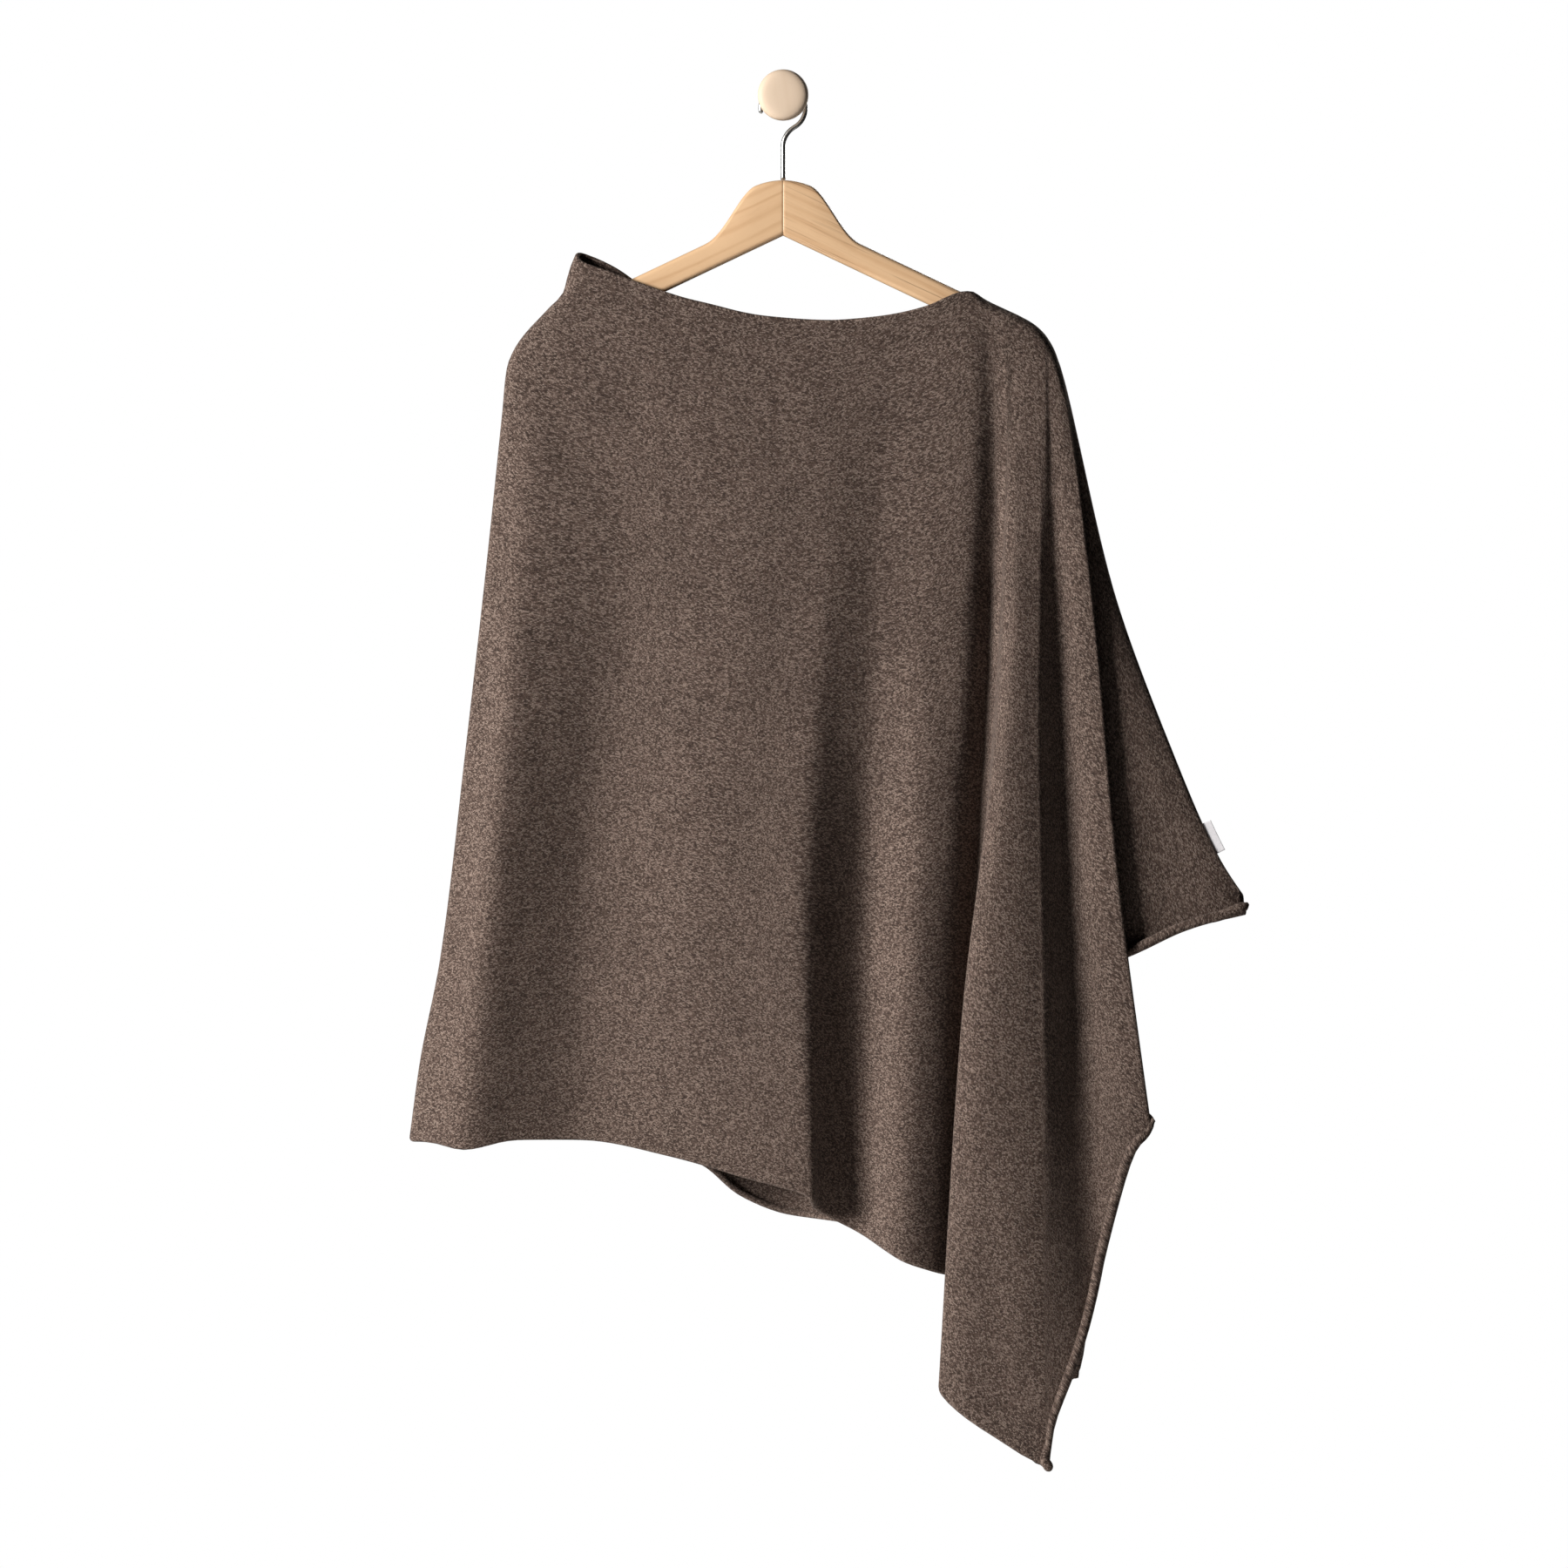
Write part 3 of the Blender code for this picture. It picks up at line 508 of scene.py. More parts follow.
# Side 1 is the front and -1 the back. A height below 0 is a trough.
RIPPLES = tuple(Ripple(*row) for row in (
    ("left_shoulder_dent", 1, -214, -216, -150, -300, 14, -1.6),
    ("left_side_dent", 1, -222, -310, -208, -420, 12, -1.4),
    ("stub_ridge", 1, -168, -143, -112, -168, 7, 1.0),
    ("chest_sag", 1, -60, -520, -76, -800, 26, 1.6),
    ("chest_trough", 1, -96, -430, -112, -700, 16, -1.3),
    ("middle_trough", 1, 8, -330, -12, -560, 15, -1.2),
    ("yoke_trough", 1, 88, -215, 78, -420, 13, -1.2),
    ("sleeve_ridge", 1, 178, -840, 196, -1020, 14, 1.6),
    ("sleeve_trough", 1, 158, -900, 168, -1050, 9, -1.4),
    ("wing_trough", 1, 300, -560, 326, -650, 14, -1.2),
    ("back_left_trough", -1, -216, -222, -150, -330, 14, -1.5),
    ("back_middle_ridge", -1, -66, -480, -84, -820, 20, 1.6),
    ("back_yoke_trough", -1, 60, -240, 44, -520, 15, -1.4),
    ("back_side_trough", -1, 84, -600, 78, -860, 12, -1.3),
))
# Where a ripple rises and where it falls again, as shares of its length
RIPPLE_RISE = (-0.25, 0.3)
RIPPLE_FALL = (0.7, 1.25)
# The knit's own unevenness: wave lengths across and down and height, in mm
WAVES = ((61, 83, 0.30), (37, 47, 0.20), (23, 31, 0.12), (97, 29, 0.16), (29, 113, 0.16))


def ripples(x, z, start, flat):
    """How much further each point stands out, in mm.

    Each ripple is a bell across it with a smooth rise and fall along it. Slow sine waves over the flat
    cloth are added, each with a phase of its own.
    """
    rise = np.zeros_like(x)
    side = np.sign(start)[:, None]
    for ripple in RIPPLES:
        run = np.array((ripple.x1 - ripple.x0, ripple.z1 - ripple.z0))
        length = np.hypot(*run)
        along = ((x - ripple.x0) * run[0] + (z - ripple.z0) * run[1]) / length**2
        across = ((x - ripple.x0) * run[1] - (z - ripple.z0) * run[0]) / length
        bell = np.exp(-((across / ripple.width) ** 2) / 2)
        ends = smooth_step(along, *RIPPLE_RISE) * (1 - smooth_step(along, *RIPPLE_FALL))
        rise += ripple.height * bell * ends * (side == ripple.side)
    for k, (across, down, height) in enumerate(WAVES):
        phase = 1.7 * k + 0.6 * np.sin(flat[..., 1] / (down * 1.3) + k)
        rise += height * np.sin(2 * np.pi * (flat[..., 0] / across + 0.3 * k) + phase) * np.sin(
            2 * np.pi * flat[..., 1] / down + 2.1 * k
        )
    return rise


def spiral(turn, steps, radius, tighten):
    """Points (columns, steps, 2) of each column's curl in its own plane, which starts at the origin.

    It sets out along the first axis and turns evenly by `turn` in all, to the other side where that is
    below 0. Its radius shrinks by `tighten` each full turn.
    """
    whole = np.abs(turn)[:, None]
    angle = whole * (np.arange(steps) + 0.5) / steps
    step = (radius[:, None] - tighten * angle / (2 * np.pi)).clip(LEAST_CURL) * whole / steps
    side = np.sign(turn)[:, None]
    return np.stack((np.cumsum(step * np.cos(angle), 1), side * np.cumsum(step * np.sin(angle), 1)), 2)


def rolled(points, edge_row, next_row, curls):
    """The rows that curl on past an edge of the grid: one more point for each step of the curls.

    Each edge point's curl lies square to the edge, in the plane of the cloth's own direction there and
    its outward normal.
    """
    edge = unit(np.gradient(points[:, edge_row], axis=0))
    onward = unit(points[:, edge_row] - points[:, next_row])
    onward = unit(onward - (onward * edge).sum(-1, keepdims=True) * edge)
    outward = np.cross(onward, edge) if edge_row == -1 else np.cross(edge, onward)
    return (
        points[:, edge_row, None]
        + curls[..., 0, None] * onward[:, None]
        + curls[..., 1, None] * outward[:, None]
    )


# How far the edges curl round, in degrees, and in how many steps
HEM_TURN = 400
FREE_TURN = 470
LEAST_TURN = 40
FULL_TURN_SHARE = 0.6  # the share of a full roll at which the edge curls all the way
NECK_TURN = 230
SEWN_TURN = 8
HEM_STEPS = 14
NECK_STEPS = 7
LEAST_CURL = 0.45  # mm, the smallest radius inside a curl
ROLL_GAP = 0.15  # mm between the turns of a hem's roll
NECK_TIGHTEN = 0.6  # mm each turn
SEWN_RADIUS = 0.25  # mm

# Along the top edge, in mm: where the neck's roll dies away, and where it grows to WIDE_NECK and back
NECK_FADE = (NECK_END - 22, NECK_END)
WIDE_FROM = (90, 130)
WIDE_TO = (250, 300)
WIDE_NECK = 1.9
# How far off the top and the lower edge the ripples grow to their full height, in mm
CALM_TOP = (4, 40)
CALM_FOOT = (0, 30)
# How far apart the rows of a curl lie in the flat cut, in mm
NECK_ROW = 0.7
HEM_ROW = 1.6


def hem_curls(roll, settings):
    """Each column's curl at the lower edge, which is all the way round from FULL_TURN_SHARE on."""
    full = np.where(roll > 0, FREE_TURN, HEM_TURN)
    turn = LEAST_TURN + (full - LEAST_TURN) * smooth_step(roll_share(roll), 0, FULL_TURN_SHARE)
    turn = np.sign(roll) * np.radians(turn)
    return spiral(turn, HEM_STEPS, roll_radius(roll, settings), settings.wall / MM + ROLL_GAP)


def neck_curls(start, settings):
    """Each column's curl at the top edge: the neck's inward roll, which dies away to the sewn seam."""
    place = np.abs(start)
    open_neck = 1 - smooth_step(place, *NECK_FADE)
    wide = 1 + (WIDE_NECK - 1) * smooth_step(place, *WIDE_FROM) * (1 - smooth_step(place, *WIDE_TO))
    radius = (SEWN_RADIUS + open_neck * (settings.neck_roll / MM - SEWN_RADIUS)) * wide
    return spiral(-np.radians(SEWN_TURN + NECK_TURN * open_neck), NECK_STEPS, radius, NECK_TIGHTEN)


def cloth_surface(settings):
    """The cloth's middle surface: points (columns, rows, 3) in mm, their flat place in mm, and closing."""
    start, roll, grid, off_top = cloth_columns(settings)
    down = distances(grid)
    foot = distances(grid[:, -1])
    flat_foot = flat_edge(foot - foot[np.argmin(np.abs(start))], start)
    share = down / down[:, -1:]
    flat_top = np.stack((start, np.zeros_like(start)), 1)
    flat = flat_top[:, None] + (flat_foot - flat_top)[:, None] * share[..., None]
    x, z, out = np.moveaxis(grid, 2, 0)
    calm = smooth_step(off_top, *CALM_TOP) * smooth_step(down[:, -1:] - down, *CALM_FOOT)
    out = out + np.sign(start)[:, None] * ripples(x, z, start, flat) * calm
    out, closing = closed_in(out, start, off_top)
    points = np.stack((x, HANGER_Y - out, z), 2)

    hem = rolled(points, -1, -2, hem_curls(roll, settings))
    neck = rolled(points, 0, 1, neck_curls(start, settings))
    points = np.concatenate((neck[:, ::-1], points, hem), 1)

    above = flat[:, :1] - np.arange(NECK_STEPS, 0, -1)[None, :, None] * np.array((0, NECK_ROW))
    past = unit(flat[:, -1] - flat[:, -2])[:, None] * HEM_ROW * np.arange(1, HEM_STEPS + 1)[None, :, None]
    flat = np.concatenate((above, flat, flat[:, -1:] + past), 1)
    closing = np.pad(closing, ((0, 0), (NECK_STEPS, HEM_STEPS)), mode="edge")
    return points, flat, closing


def flat_edge(foot, start):
    """Where each column meets the edge of the flat cut: along the long edge, then up the free end.

    foot is the signed distance along the lower edge from the fold. The corner's column is the one
    that starts at the corner line, and each stretch is scaled to the cut's real size.
    """
    made = np.zeros((len(foot), 2))
    for side, lines in ((1, FRONT_LINES), (-1, BACK_LINES)):
        corner = next(line.start for line in lines if line.name == "corner")
        on_side = side * start >= 0
        corner_foot = np.interp(corner, side * start[on_side][::side], side * foot[on_side][::side])
        end_foot = np.abs(foot[on_side]).max()
        distance = side * foot[on_side]
        lower = distance <= corner_foot
        along = np.where(lower, HALF_LENGTH * distance / corner_foot, HALF_LENGTH)
        up = np.where(lower, DEPTH, DEPTH * (end_foot - distance) / (end_foot - corner_foot))
        made[on_side] = np.stack((side * along, up), 1)
    return made


def wall_faces(points, closing, wall):
    """The outer and the inner face of the cloth's wall, moved along the surface's normals.

    Where the two layers close along the seam the normals lie in the hanger's plane, so that they end
    square against each other.
    """
    normals = np.cross(np.gradient(points, axis=1), np.gradient(points, axis=0))
    normals[:, :, 1] *= 1 - closing
    normals[[0, -1], : NECK_STEPS + 1] = normals[[0, -1], NECK_STEPS + 2, None]
    normals = unit(normals)
    return points + normals * wall / 2, points - normals * wall / 2


def grid_faces(columns, rows):
    """The quads of a plain grid of that many columns and rows."""
    index = np.arange(columns * rows).reshape(columns, rows)
    return np.stack((index[:-1, :-1], index[1:, :-1], index[1:, 1:], index[:-1, 1:]), 2).reshape(-1, 4)


def closed_shell(outer, inner):
    """Vertices and faces of the closed wall between two grids of points, with quads all round."""
    index = np.arange(outer.shape[0] * outer.shape[1]).reshape(outer.shape[:2])
    quads = grid_faces(*index.shape)[:, [0, 3, 2, 1]]
    border = np.concatenate((index[:-1, 0], index[-1, :-1], index[:0:-1, -1], index[0, :0:-1]))
    after = np.roll(border, -1)
    rim = np.stack((border, after, after + index.size, border + index.size), 1)
    points = np.concatenate((outer.reshape(-1, 3), inner.reshape(-1, 3)))
    return points, np.concatenate((quads, quads[:, ::-1] + index.size, rim))


NO_RUN = (0.0, 1.0, 0.001)  # a direction in which no tube here runs


def tube(points, radius, around):
    """Vertices and faces of a closed tube: a circle carried along the points, square to them.

    points is (n, 3) and radius has n numbers.
    """
    tangent = unit(np.gradient(points, axis=0))
    side = unit(np.cross(tangent, NO_RUN))
    up = np.cross(side, tangent)
    angle = (2 * np.pi * np.arange(around) / around)[None, :, None]
    ring = np.cos(angle) * side[:, None] + np.sin(angle) * up[:, None]
    return lathe(points[:, None] + radius[:, None, None] * ring)


def lathe(rings):
    """Vertices and faces of a closed body of rings (n, around, 3), with a point in each end's middle."""
    n, around = rings.shape[:2]
    index = np.arange(n * around).reshape(n, around)
    across = np.roll(index, -1, 1)
    quads = np.stack((index[:-1], across[:-1], across[1:], index[1:]), 2).reshape(-1, 4)
    ends = n * around, n * around + 1
    first = np.stack((index[0], np.full(around, ends[0]), across[0]), 1)
    last = np.stack((index[-1], across[-1], np.full(around, ends[1])), 1)
    points = np.concatenate((rings.reshape(-1, 3), rings[[0, -1]].mean(1)))
    return points, quads.tolist() + first.tolist() + last.tolist()


def add_mesh(name, points, faces, flat=None, flat_name="cut"):
    """A new smooth-shaded object of points in mm. flat is each vertex's place in a UV map, in mm."""
    mesh = bpy.data.meshes.new(name)
    mesh.from_pydata((points * MM).tolist(), [], faces if isinstance(faces, list) else faces.tolist())
    if flat is not None:
        corners = np.empty(len(mesh.loops), np.int32)
        mesh.loops.foreach_get("vertex_index", corners)
        layer = mesh.uv_layers.new(name=flat_name)
        layer.uv.foreach_set("vector", (flat[corners] * MM).astype(np.float32).ravel())
    mesh.shade_smooth()
    mesh.validate()
    obj = bpy.data.objects.new(name, mesh)
    bpy.context.scene.collection.objects.link(obj)
    return obj


class Nodes:
    """A node tree that is filled with short calls."""

    def __init__(self, tree):
        self.tree = tree

    def add(self, kind, inputs=None, **values):
        """A node of that kind, with its properties and its inputs set or linked."""
        node = self.tree.nodes.new(kind)
        for key, value in values.items():
            setattr(node, key, value)
        for key, value in (inputs or {}).items():
            self.put(node.inputs[key], value)
        return node

    def put(self, socket, value):
        """Sets a socket, or links it where the value is another socket."""
        if isinstance(value, bpy.types.NodeSocket):
            self.tree.links.new(value, socket)
        else:
            socket.default_value = value

    def math(self, operation, *values, clamp=False):
        """The output of a Math node."""
        inputs = dict(enumerate(values))
        return self.add("ShaderNodeMath", inputs, operation=operation, use_clamp=clamp).outputs[0]

    def times(self, one, other):
        """One value times the other."""
        return self.math("MULTIPLY", one, other)

    def plus(self, one, other, clamp=False):
        """One value and the other, kept between 0 and 1 where clamp is set."""
        return self.math("ADD", one, other, clamp=clamp)

    def minus(self, one, other):
        """One value less the other."""
        return self.math("SUBTRACT", one, other)

    def mix(self, share, low, high, blend="MIX"):
        """The colour output of a Mix node."""
        node = self.add("ShaderNodeMix", data_type="RGBA", blend_type=blend)
        for key, value in ((0, share), (6, low), (7, high)):
            self.put(node.inputs[key], value)
        return node.outputs[2]

    def ramp(self, share, stops):
        """The colour output of a colour ramp through stops of (place, grey value)."""
        node = self.add("ShaderNodeValToRGB", {0: share})
        elements = node.color_ramp.elements
        while len(elements) < len(stops):
            elements.new(0.5)
        for element, (place, value) in zip(elements, stops):
            element.position = place
            element.color = (value, value, value, 1)
        return node.outputs[0]

    def noise(self, vector, scale, detail=2.0, roughness=0.5):
        """The value of a noise texture."""
        inputs = {"Vector": vector, "Scale": scale, "Detail": detail, "Roughness": roughness}
        return self.add("ShaderNodeTexNoise", inputs).outputs[0]

    def streaks(self, vector, scale, detail, roughness=0.5):
        """The value of a noise texture with a scale of its own along each axis."""
        place = self.add("ShaderNodeMapping", {"Vector": vector, "Scale": scale}).outputs[0]
        return self.noise(place, 1.0, detail, roughness)

    def bump(self, shader, height, strength, distance):
        """Gives the shader a relief of that height, whose distance is in mm."""
        inputs = {"Height": height, "Strength": strength, "Distance": distance * MM}
        self.put(shader.inputs["Normal"], self.add("ShaderNodeBump", inputs).outputs[0])


def new_group(name, inputs, outputs):
    """(group, nodes, input node, output node) of a shader group. inputs hold name, kind and default."""
    group = bpy.data.node_groups.new(name, "ShaderNodeTree")
    for label, kind, default in inputs:
        socket = group.interface.new_socket(label, in_out="INPUT", socket_type="NodeSocket" + kind)
        if default is not None:
            socket.default_value = default
    for label, kind in outputs:
        group.interface.new_socket(label, in_out="OUTPUT", socket_type="NodeSocket" + kind)
    nodes = Nodes(group)
    return group, nodes, nodes.add("NodeGroupInput"), nodes.add("NodeGroupOutput")


# How far a stitch leans, in its own heights, how far the rows of stitches wander and how fast they do
STITCH_LEAN = 1.3
STITCH_WARP = 0.9
WARP_SCALE = 95.0


def stitch_group():
    """Rows of plain knitting: V-shaped stitches, made from a flat place in metres.

    Across a wale the two legs of the V mirror each other, and along it each leg leans forward. The
    height is the yarn's round back, and the stitch is a pair of numbers of each leg's own.
    """
    group = bpy.data.node_groups.get("plain_knit")
    if group:
        return group
    inputs = (("Place", "Vector", None), ("Wale", "Float", 0.0018), ("Course", "Float", 0.00145))
    group, nodes, given, made = new_group("plain_knit", inputs, (("Height", "Float"), ("Stitch", "Vector")))
    warp = nodes.noise(given.outputs["Place"], WARP_SCALE, 1.0)
    bent = nodes.times(nodes.minus(warp, 0.5), STITCH_WARP)
    place = nodes.add("ShaderNodeSeparateXYZ", {0: given.outputs["Place"]}).outputs
    across = nodes.plus(nodes.math("DIVIDE", place[1], given.outputs["Wale"]), bent)
    along = nodes.plus(nodes.math("DIVIDE", place[0], given.outputs["Course"]), bent)
    side = nodes.math("ABSOLUTE", nodes.minus(nodes.math("FRACT", across), 0.5))
    leaning = nodes.minus(along, nodes.times(side, STITCH_LEAN))
    loop = nodes.math("SINE", nodes.times(nodes.math("FRACT", leaning), math.pi))
    leg = nodes.math("ABSOLUTE", nodes.math("SINE", nodes.times(side, 2 * math.pi)))
    height = nodes.times(nodes.math("POWER", loop, 0.6), nodes.math("POWER", leg, 0.6))
    cell = nodes.add("ShaderNodeCombineXYZ", {
        0: nodes.math("FLOOR", nodes.times(across, 2.0)),
        1: nodes.math("FLOOR", leaning),
    }).outputs[0]
    nodes.put(made.inputs["Height"], height)
    nodes.put(made.inputs["Stitch"], cell)
    return group


def wood_group():
    """Wood with its grain along the first axis of a place in metres.

    Growth lines are the fifth power of a wandering sine across the grain. Pores, mottling and dark veins
    are noise drawn out along it.
    """
    group = bpy.data.node_groups.get("straight_wood")
    if group:
        return group
    inputs = (
        ("Place", "Vector", None),
        ("Light", "Color", (0.8, 0.6, 0.4, 1)),
        ("Grain", "Color", (0.6, 0.4, 0.2, 1)),
        ("Lines", "Float", 0.5),
        ("Pores", "Float", 0.5),
        ("Veins", "Float", 0.0),
    )
    group, nodes, given, made = new_group("straight_wood", inputs, (("Color", "Color"), ("Height", "Float")))
    place = given.outputs["Place"]
    drift = nodes.streaks(place, (5.0, 40.0, 40.0), 3.0)
    parts = nodes.add("ShaderNodeSeparateXYZ", {0: place}).outputs
    across = nodes.plus(nodes.times(parts[1], 330.0), nodes.times(drift, 7.0))
    lines = nodes.math("POWER", nodes.math("ABSOLUTE", nodes.math("SINE", across)), 5.0)
    fade = nodes.streaks(place, (9.0, 90.0, 60.0), 3.0)
    lines = nodes.times(lines, nodes.times(fade, given.outputs["Lines"]))
    pores = nodes.streaks(place, (130.0, 2600.0, 2600.0), 2.0)
    pores = nodes.times(nodes.ramp(pores, ((0.0, 0.0), (0.56, 0.0), (0.7, 1.0))),
                       given.outputs["Pores"])
    share = nodes.plus(lines, nodes.times(pores, 0.5), clamp=True)
    mottle = nodes.streaks(place, (14.0, 60.0, 60.0), 4.0)
    mottle = nodes.times(nodes.minus(mottle, 0.5), 0.9)
    share = nodes.plus(share, mottle, clamp=True)
    color = nodes.mix(share, given.outputs["Light"], given.outputs["Grain"])
    veins = nodes.streaks(place, (6.0, 620.0, 300.0), 3.0, 0.6)
    clear = nodes.streaks(place, (12.0, 110.0, 60.0), 2.0)
    veins = nodes.times(nodes.ramp(veins, ((0.0, 0.0), (0.53, 0.0), (0.66, 1.0))),
                       nodes.ramp(clear, ((0.0, 0.1), (0.45, 0.1), (0.6, 1.0))))
    veins = nodes.times(veins, given.outputs["Veins"])
    nodes.put(made.inputs["Color"], nodes.mix(veins, color, (0.30, 0.16, 0.08, 1)))
    nodes.put(made.inputs["Height"], nodes.minus(0.5, nodes.times(pores, 0.5)))
    return group


def new_material(name):
    """(material, its nodes, its Principled shader)."""
    material = bpy.data.materials.new(name)
    material.use_nodes = True
    nodes = Nodes(material.node_tree)
    return material, nodes, material.node_tree.nodes["Principled BSDF"]


def grouped(nodes, group, **inputs):
    """A group node with its inputs set."""
    node = nodes.add("ShaderNodeGroup", node_tree=group)
    for key, value in inputs.items():
        nodes.put(node.inputs[key], value)
    return node.outputs


def rgba(color):
    """A colour property with full alpha."""
    return (*color, 1.0)


def knit_material(settings):
    """Fine heathered jersey: V stitches, light and dark fibres in the yarn, a soft nap, and painted shade in
    the hollows between the stitches, a little lighter on their round backs.
    """
    material, nodes, shader = new_material("heathered_knit")
    place = nodes.add("ShaderNodeUVMap", uv_map="cut").outputs[0]
    knit = grouped(nodes, stitch_group(), Place=place, Wale=settings.wale, Course=settings.course)
    height, stitch = knit["Height"], knit["Stitch"]
    leg = nodes.add("ShaderNodeTexWhiteNoise", {"Vector": stitch}, noise_dimensions="2D").outputs[0]
    fibres = nodes.streaks(place, (1500.0, 900.0, 1.0), 2.0, 0.6)
    strands = nodes.streaks(place, (330.0, 560.0, 1.0), 2.0, 0.6)
    patches = nodes.noise(place, 16.0, 3.0, 0.55)
    blend = nodes.plus(nodes.times(leg, 0.55), nodes.times(fibres, 0.75))
    blend = nodes.minus(nodes.plus(nodes.times(strands, 0.5), blend), 0.375)
    light = nodes.ramp(blend, ((0.0, 0.0), (0.54, 0.0), (0.80, 1.0)))
    dark = nodes.ramp(blend, ((0.0, 1.0), (0.26, 1.0), (0.50, 0.0)))
    color = nodes.mix(nodes.times(light, 0.95), rgba(settings.yarn), rgba(settings.light_fibre))
    color = nodes.mix(nodes.times(dark, 0.85), color, rgba(settings.dark_fibre))
    # Painted shade: the colour is darkened in the stitches' hollows and lightened a little on their round
    # backs, by the stitch height.
    depth = nodes.ramp(height, ((0.0, 0.22), (0.4, 0.85), (1.0, 1.2)))
    color = nodes.mix(0.85, color, nodes.mix(1.0, color, depth, "MULTIPLY"))
    tone = nodes.ramp(patches, ((0.3, 0.90), (0.7, 1.08)))
    color = nodes.mix(1.0, color, tone, "MULTIPLY")
    nodes.put(shader.inputs["Base Color"], color)
    shader.inputs["Roughness"].default_value = 0.95
    shader.inputs["Specular IOR Level"].default_value = 0.12
    shader.inputs["Sheen Weight"].default_value = 0.16
    shader.inputs["Sheen Roughness"].default_value = 0.5
    shader.inputs["Sheen Tint"].default_value = (0.75, 0.66, 0.6, 1)
    fluff = nodes.streaks(place, (900.0, 900.0, 1.0), 3.0, 0.7)
    relief = nodes.plus(height, nodes.times(fluff, 0.9))
    nodes.bump(shader, relief, 0.75, 0.35)
    return material


# Where the free end's curl comes to a round end of its own: its place in the flat cut, and the points
# along its middle as x, z, how far each stands out, and its radius, all in mm
CURL_ENDS = (
    ((HALF_LENGTH, DEPTH), (
        (213, -1074, 36, 1.8), (210.2, -1084, 37.5, 3.2), (209, -1091, 38, 3.7),
        (211.4, -1096, 37.5, 4.1), (212.9, -1099, 37, 3.1), (213.6, -1100.3, 37, 1.2),
    )),
    ((-HALF_LENGTH, DEPTH), (
        (230, -1012, -27, 1.6), (234.5, -1020, -29, 3.0), (235.6, -1026, -29.5, 3.4),
        (237, -1031.5, -29, 1.6),
    )),
    ((HALF_LENGTH, 0), (
        (336, -662, 10, 1.8), (346, -658.8, 9.5, 3.8), (357, -655, 8, 4.4),
        (365, -652.2, 6.5, 4.7), (370, -650, 5, 4.0), (373.4, -647.6, 4, 1.4),
    )),
)
CURL_STEPS = 40
CURL_SIDES = 20


def curl_end(place, points):
    """Vertices, faces and flat places of one curl's round end: a tube along a smooth line."""
    points = np.array(points, float)
    along = distances(points[:, :3])
    fine = smooth_curve(along, points, np.linspace(0, along[-1], CURL_STEPS))
    middle = np.stack((fine[:, 0], HANGER_Y - fine[:, 2], fine[:, 1]), 1)
    vertices, faces = tube(middle, fine[:, 3], CURL_SIDES)
    run = np.repeat(np.linspace(0, along[-1], CURL_STEPS), CURL_SIDES)
    turn = np.tile(np.arange(CURL_SIDES), CURL_STEPS) * 2 * np.pi / CURL_SIDES
    flat = np.stack((place[0] + turn * fine[:, 3].max(), place[1] + run), 1)
    return vertices, faces, np.concatenate((flat, flat[[0, -1]]))


class PONCHO_OT_add_cloth(bpy.types.Operator):
    """Make the cloth: one sheet of fine knit, folded at the left, seamed at the right, with rolled edges"""

    bl_idname = "poncho.add_cloth"
    bl_label = "Add the cloth"

    def execute(self, context):
        settings = context.scene.poncho_cloth
        points, flat, closing = cloth_surface(settings)
        outer, inner = wall_faces(points, closing, settings.wall / MM)
        points, faces = closed_shell(outer, inner)
        flat = np.concatenate((flat.reshape(-1, 2), flat.reshape(-1, 2)))
        faces = faces.tolist()
        for place, curl in CURL_ENDS:
            more, more_faces, more_flat = curl_end(place, curl)
            faces += [[corner + len(points) for corner in face] for face in more_faces]
            points, flat = np.concatenate((points, more)), np.concatenate((flat, more_flat))
        cloth = add_mesh("poncho", points, faces, flat)
        cloth.data.materials.append(knit_material(settings))
        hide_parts("front_panel", "back_panel")
        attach(cloth, "root")
        return {"FINISHED"}


def tape_material():
    """White woven tape: fine warp and weft threads, with painted shade between the threads."""
    material, nodes, shader = new_material("white_tape")
    place = nodes.add("ShaderNodeUVMap", uv_map="tape").outputs[0]
    parts = nodes.add("ShaderNodeSeparateXYZ", {0: place}).outputs
    warp = nodes.math("SINE", nodes.times(parts[0], 2 * math.pi / WARP_STEP))
    weft = nodes.math("SINE", nodes.times(parts[1], 2 * math.pi / WEFT_STEP))
    height = nodes.times(nodes.math("ABSOLUTE", warp), nodes.math("ABSOLUTE", weft))
    soil = nodes.noise(place, 300.0, 2.0)
    # Painted shade: the tape is darker where the threads dip and lighter on their tops, mixed with random
    # soil.
    shade = nodes.plus(nodes.times(height, 0.4), nodes.times(soil, 0.6))
    nodes.put(shader.inputs["Base Color"], nodes.mix(shade, (0.70, 0.68, 0.70, 1), (0.86, 0.84, 0.87, 1)))
    shader.inputs["Roughness"].default_value = 0.7
    shader.inputs["Sheen Weight"].default_value = 0.1
    nodes.bump(shader, height, 0.5, 0.15)
    return material


# The tab of tape, in mm: how far below the frame's label it starts, its length along the seam, how far
# it stands off, how far it is sewn in, its fold's radius, how much it leans and bulges, how thick it is
TAPE_INSET = 1
TAPE_LENGTH = 27
TAPE_WIDTH = 7.6
TAPE_SEWN = 1.8
TAPE_FOLD = 0.4
TAPE_LEAN = 2.2
TAPE_BULGE = 0.25
TAPE_WALL = 0.25
TAPE_COLUMNS = 26
TAPE_ROWS = 12
WARP_STEP = 0.0007  # m, from one thread of the tape's warp to the next
WEFT_STEP = 0.0005  # m


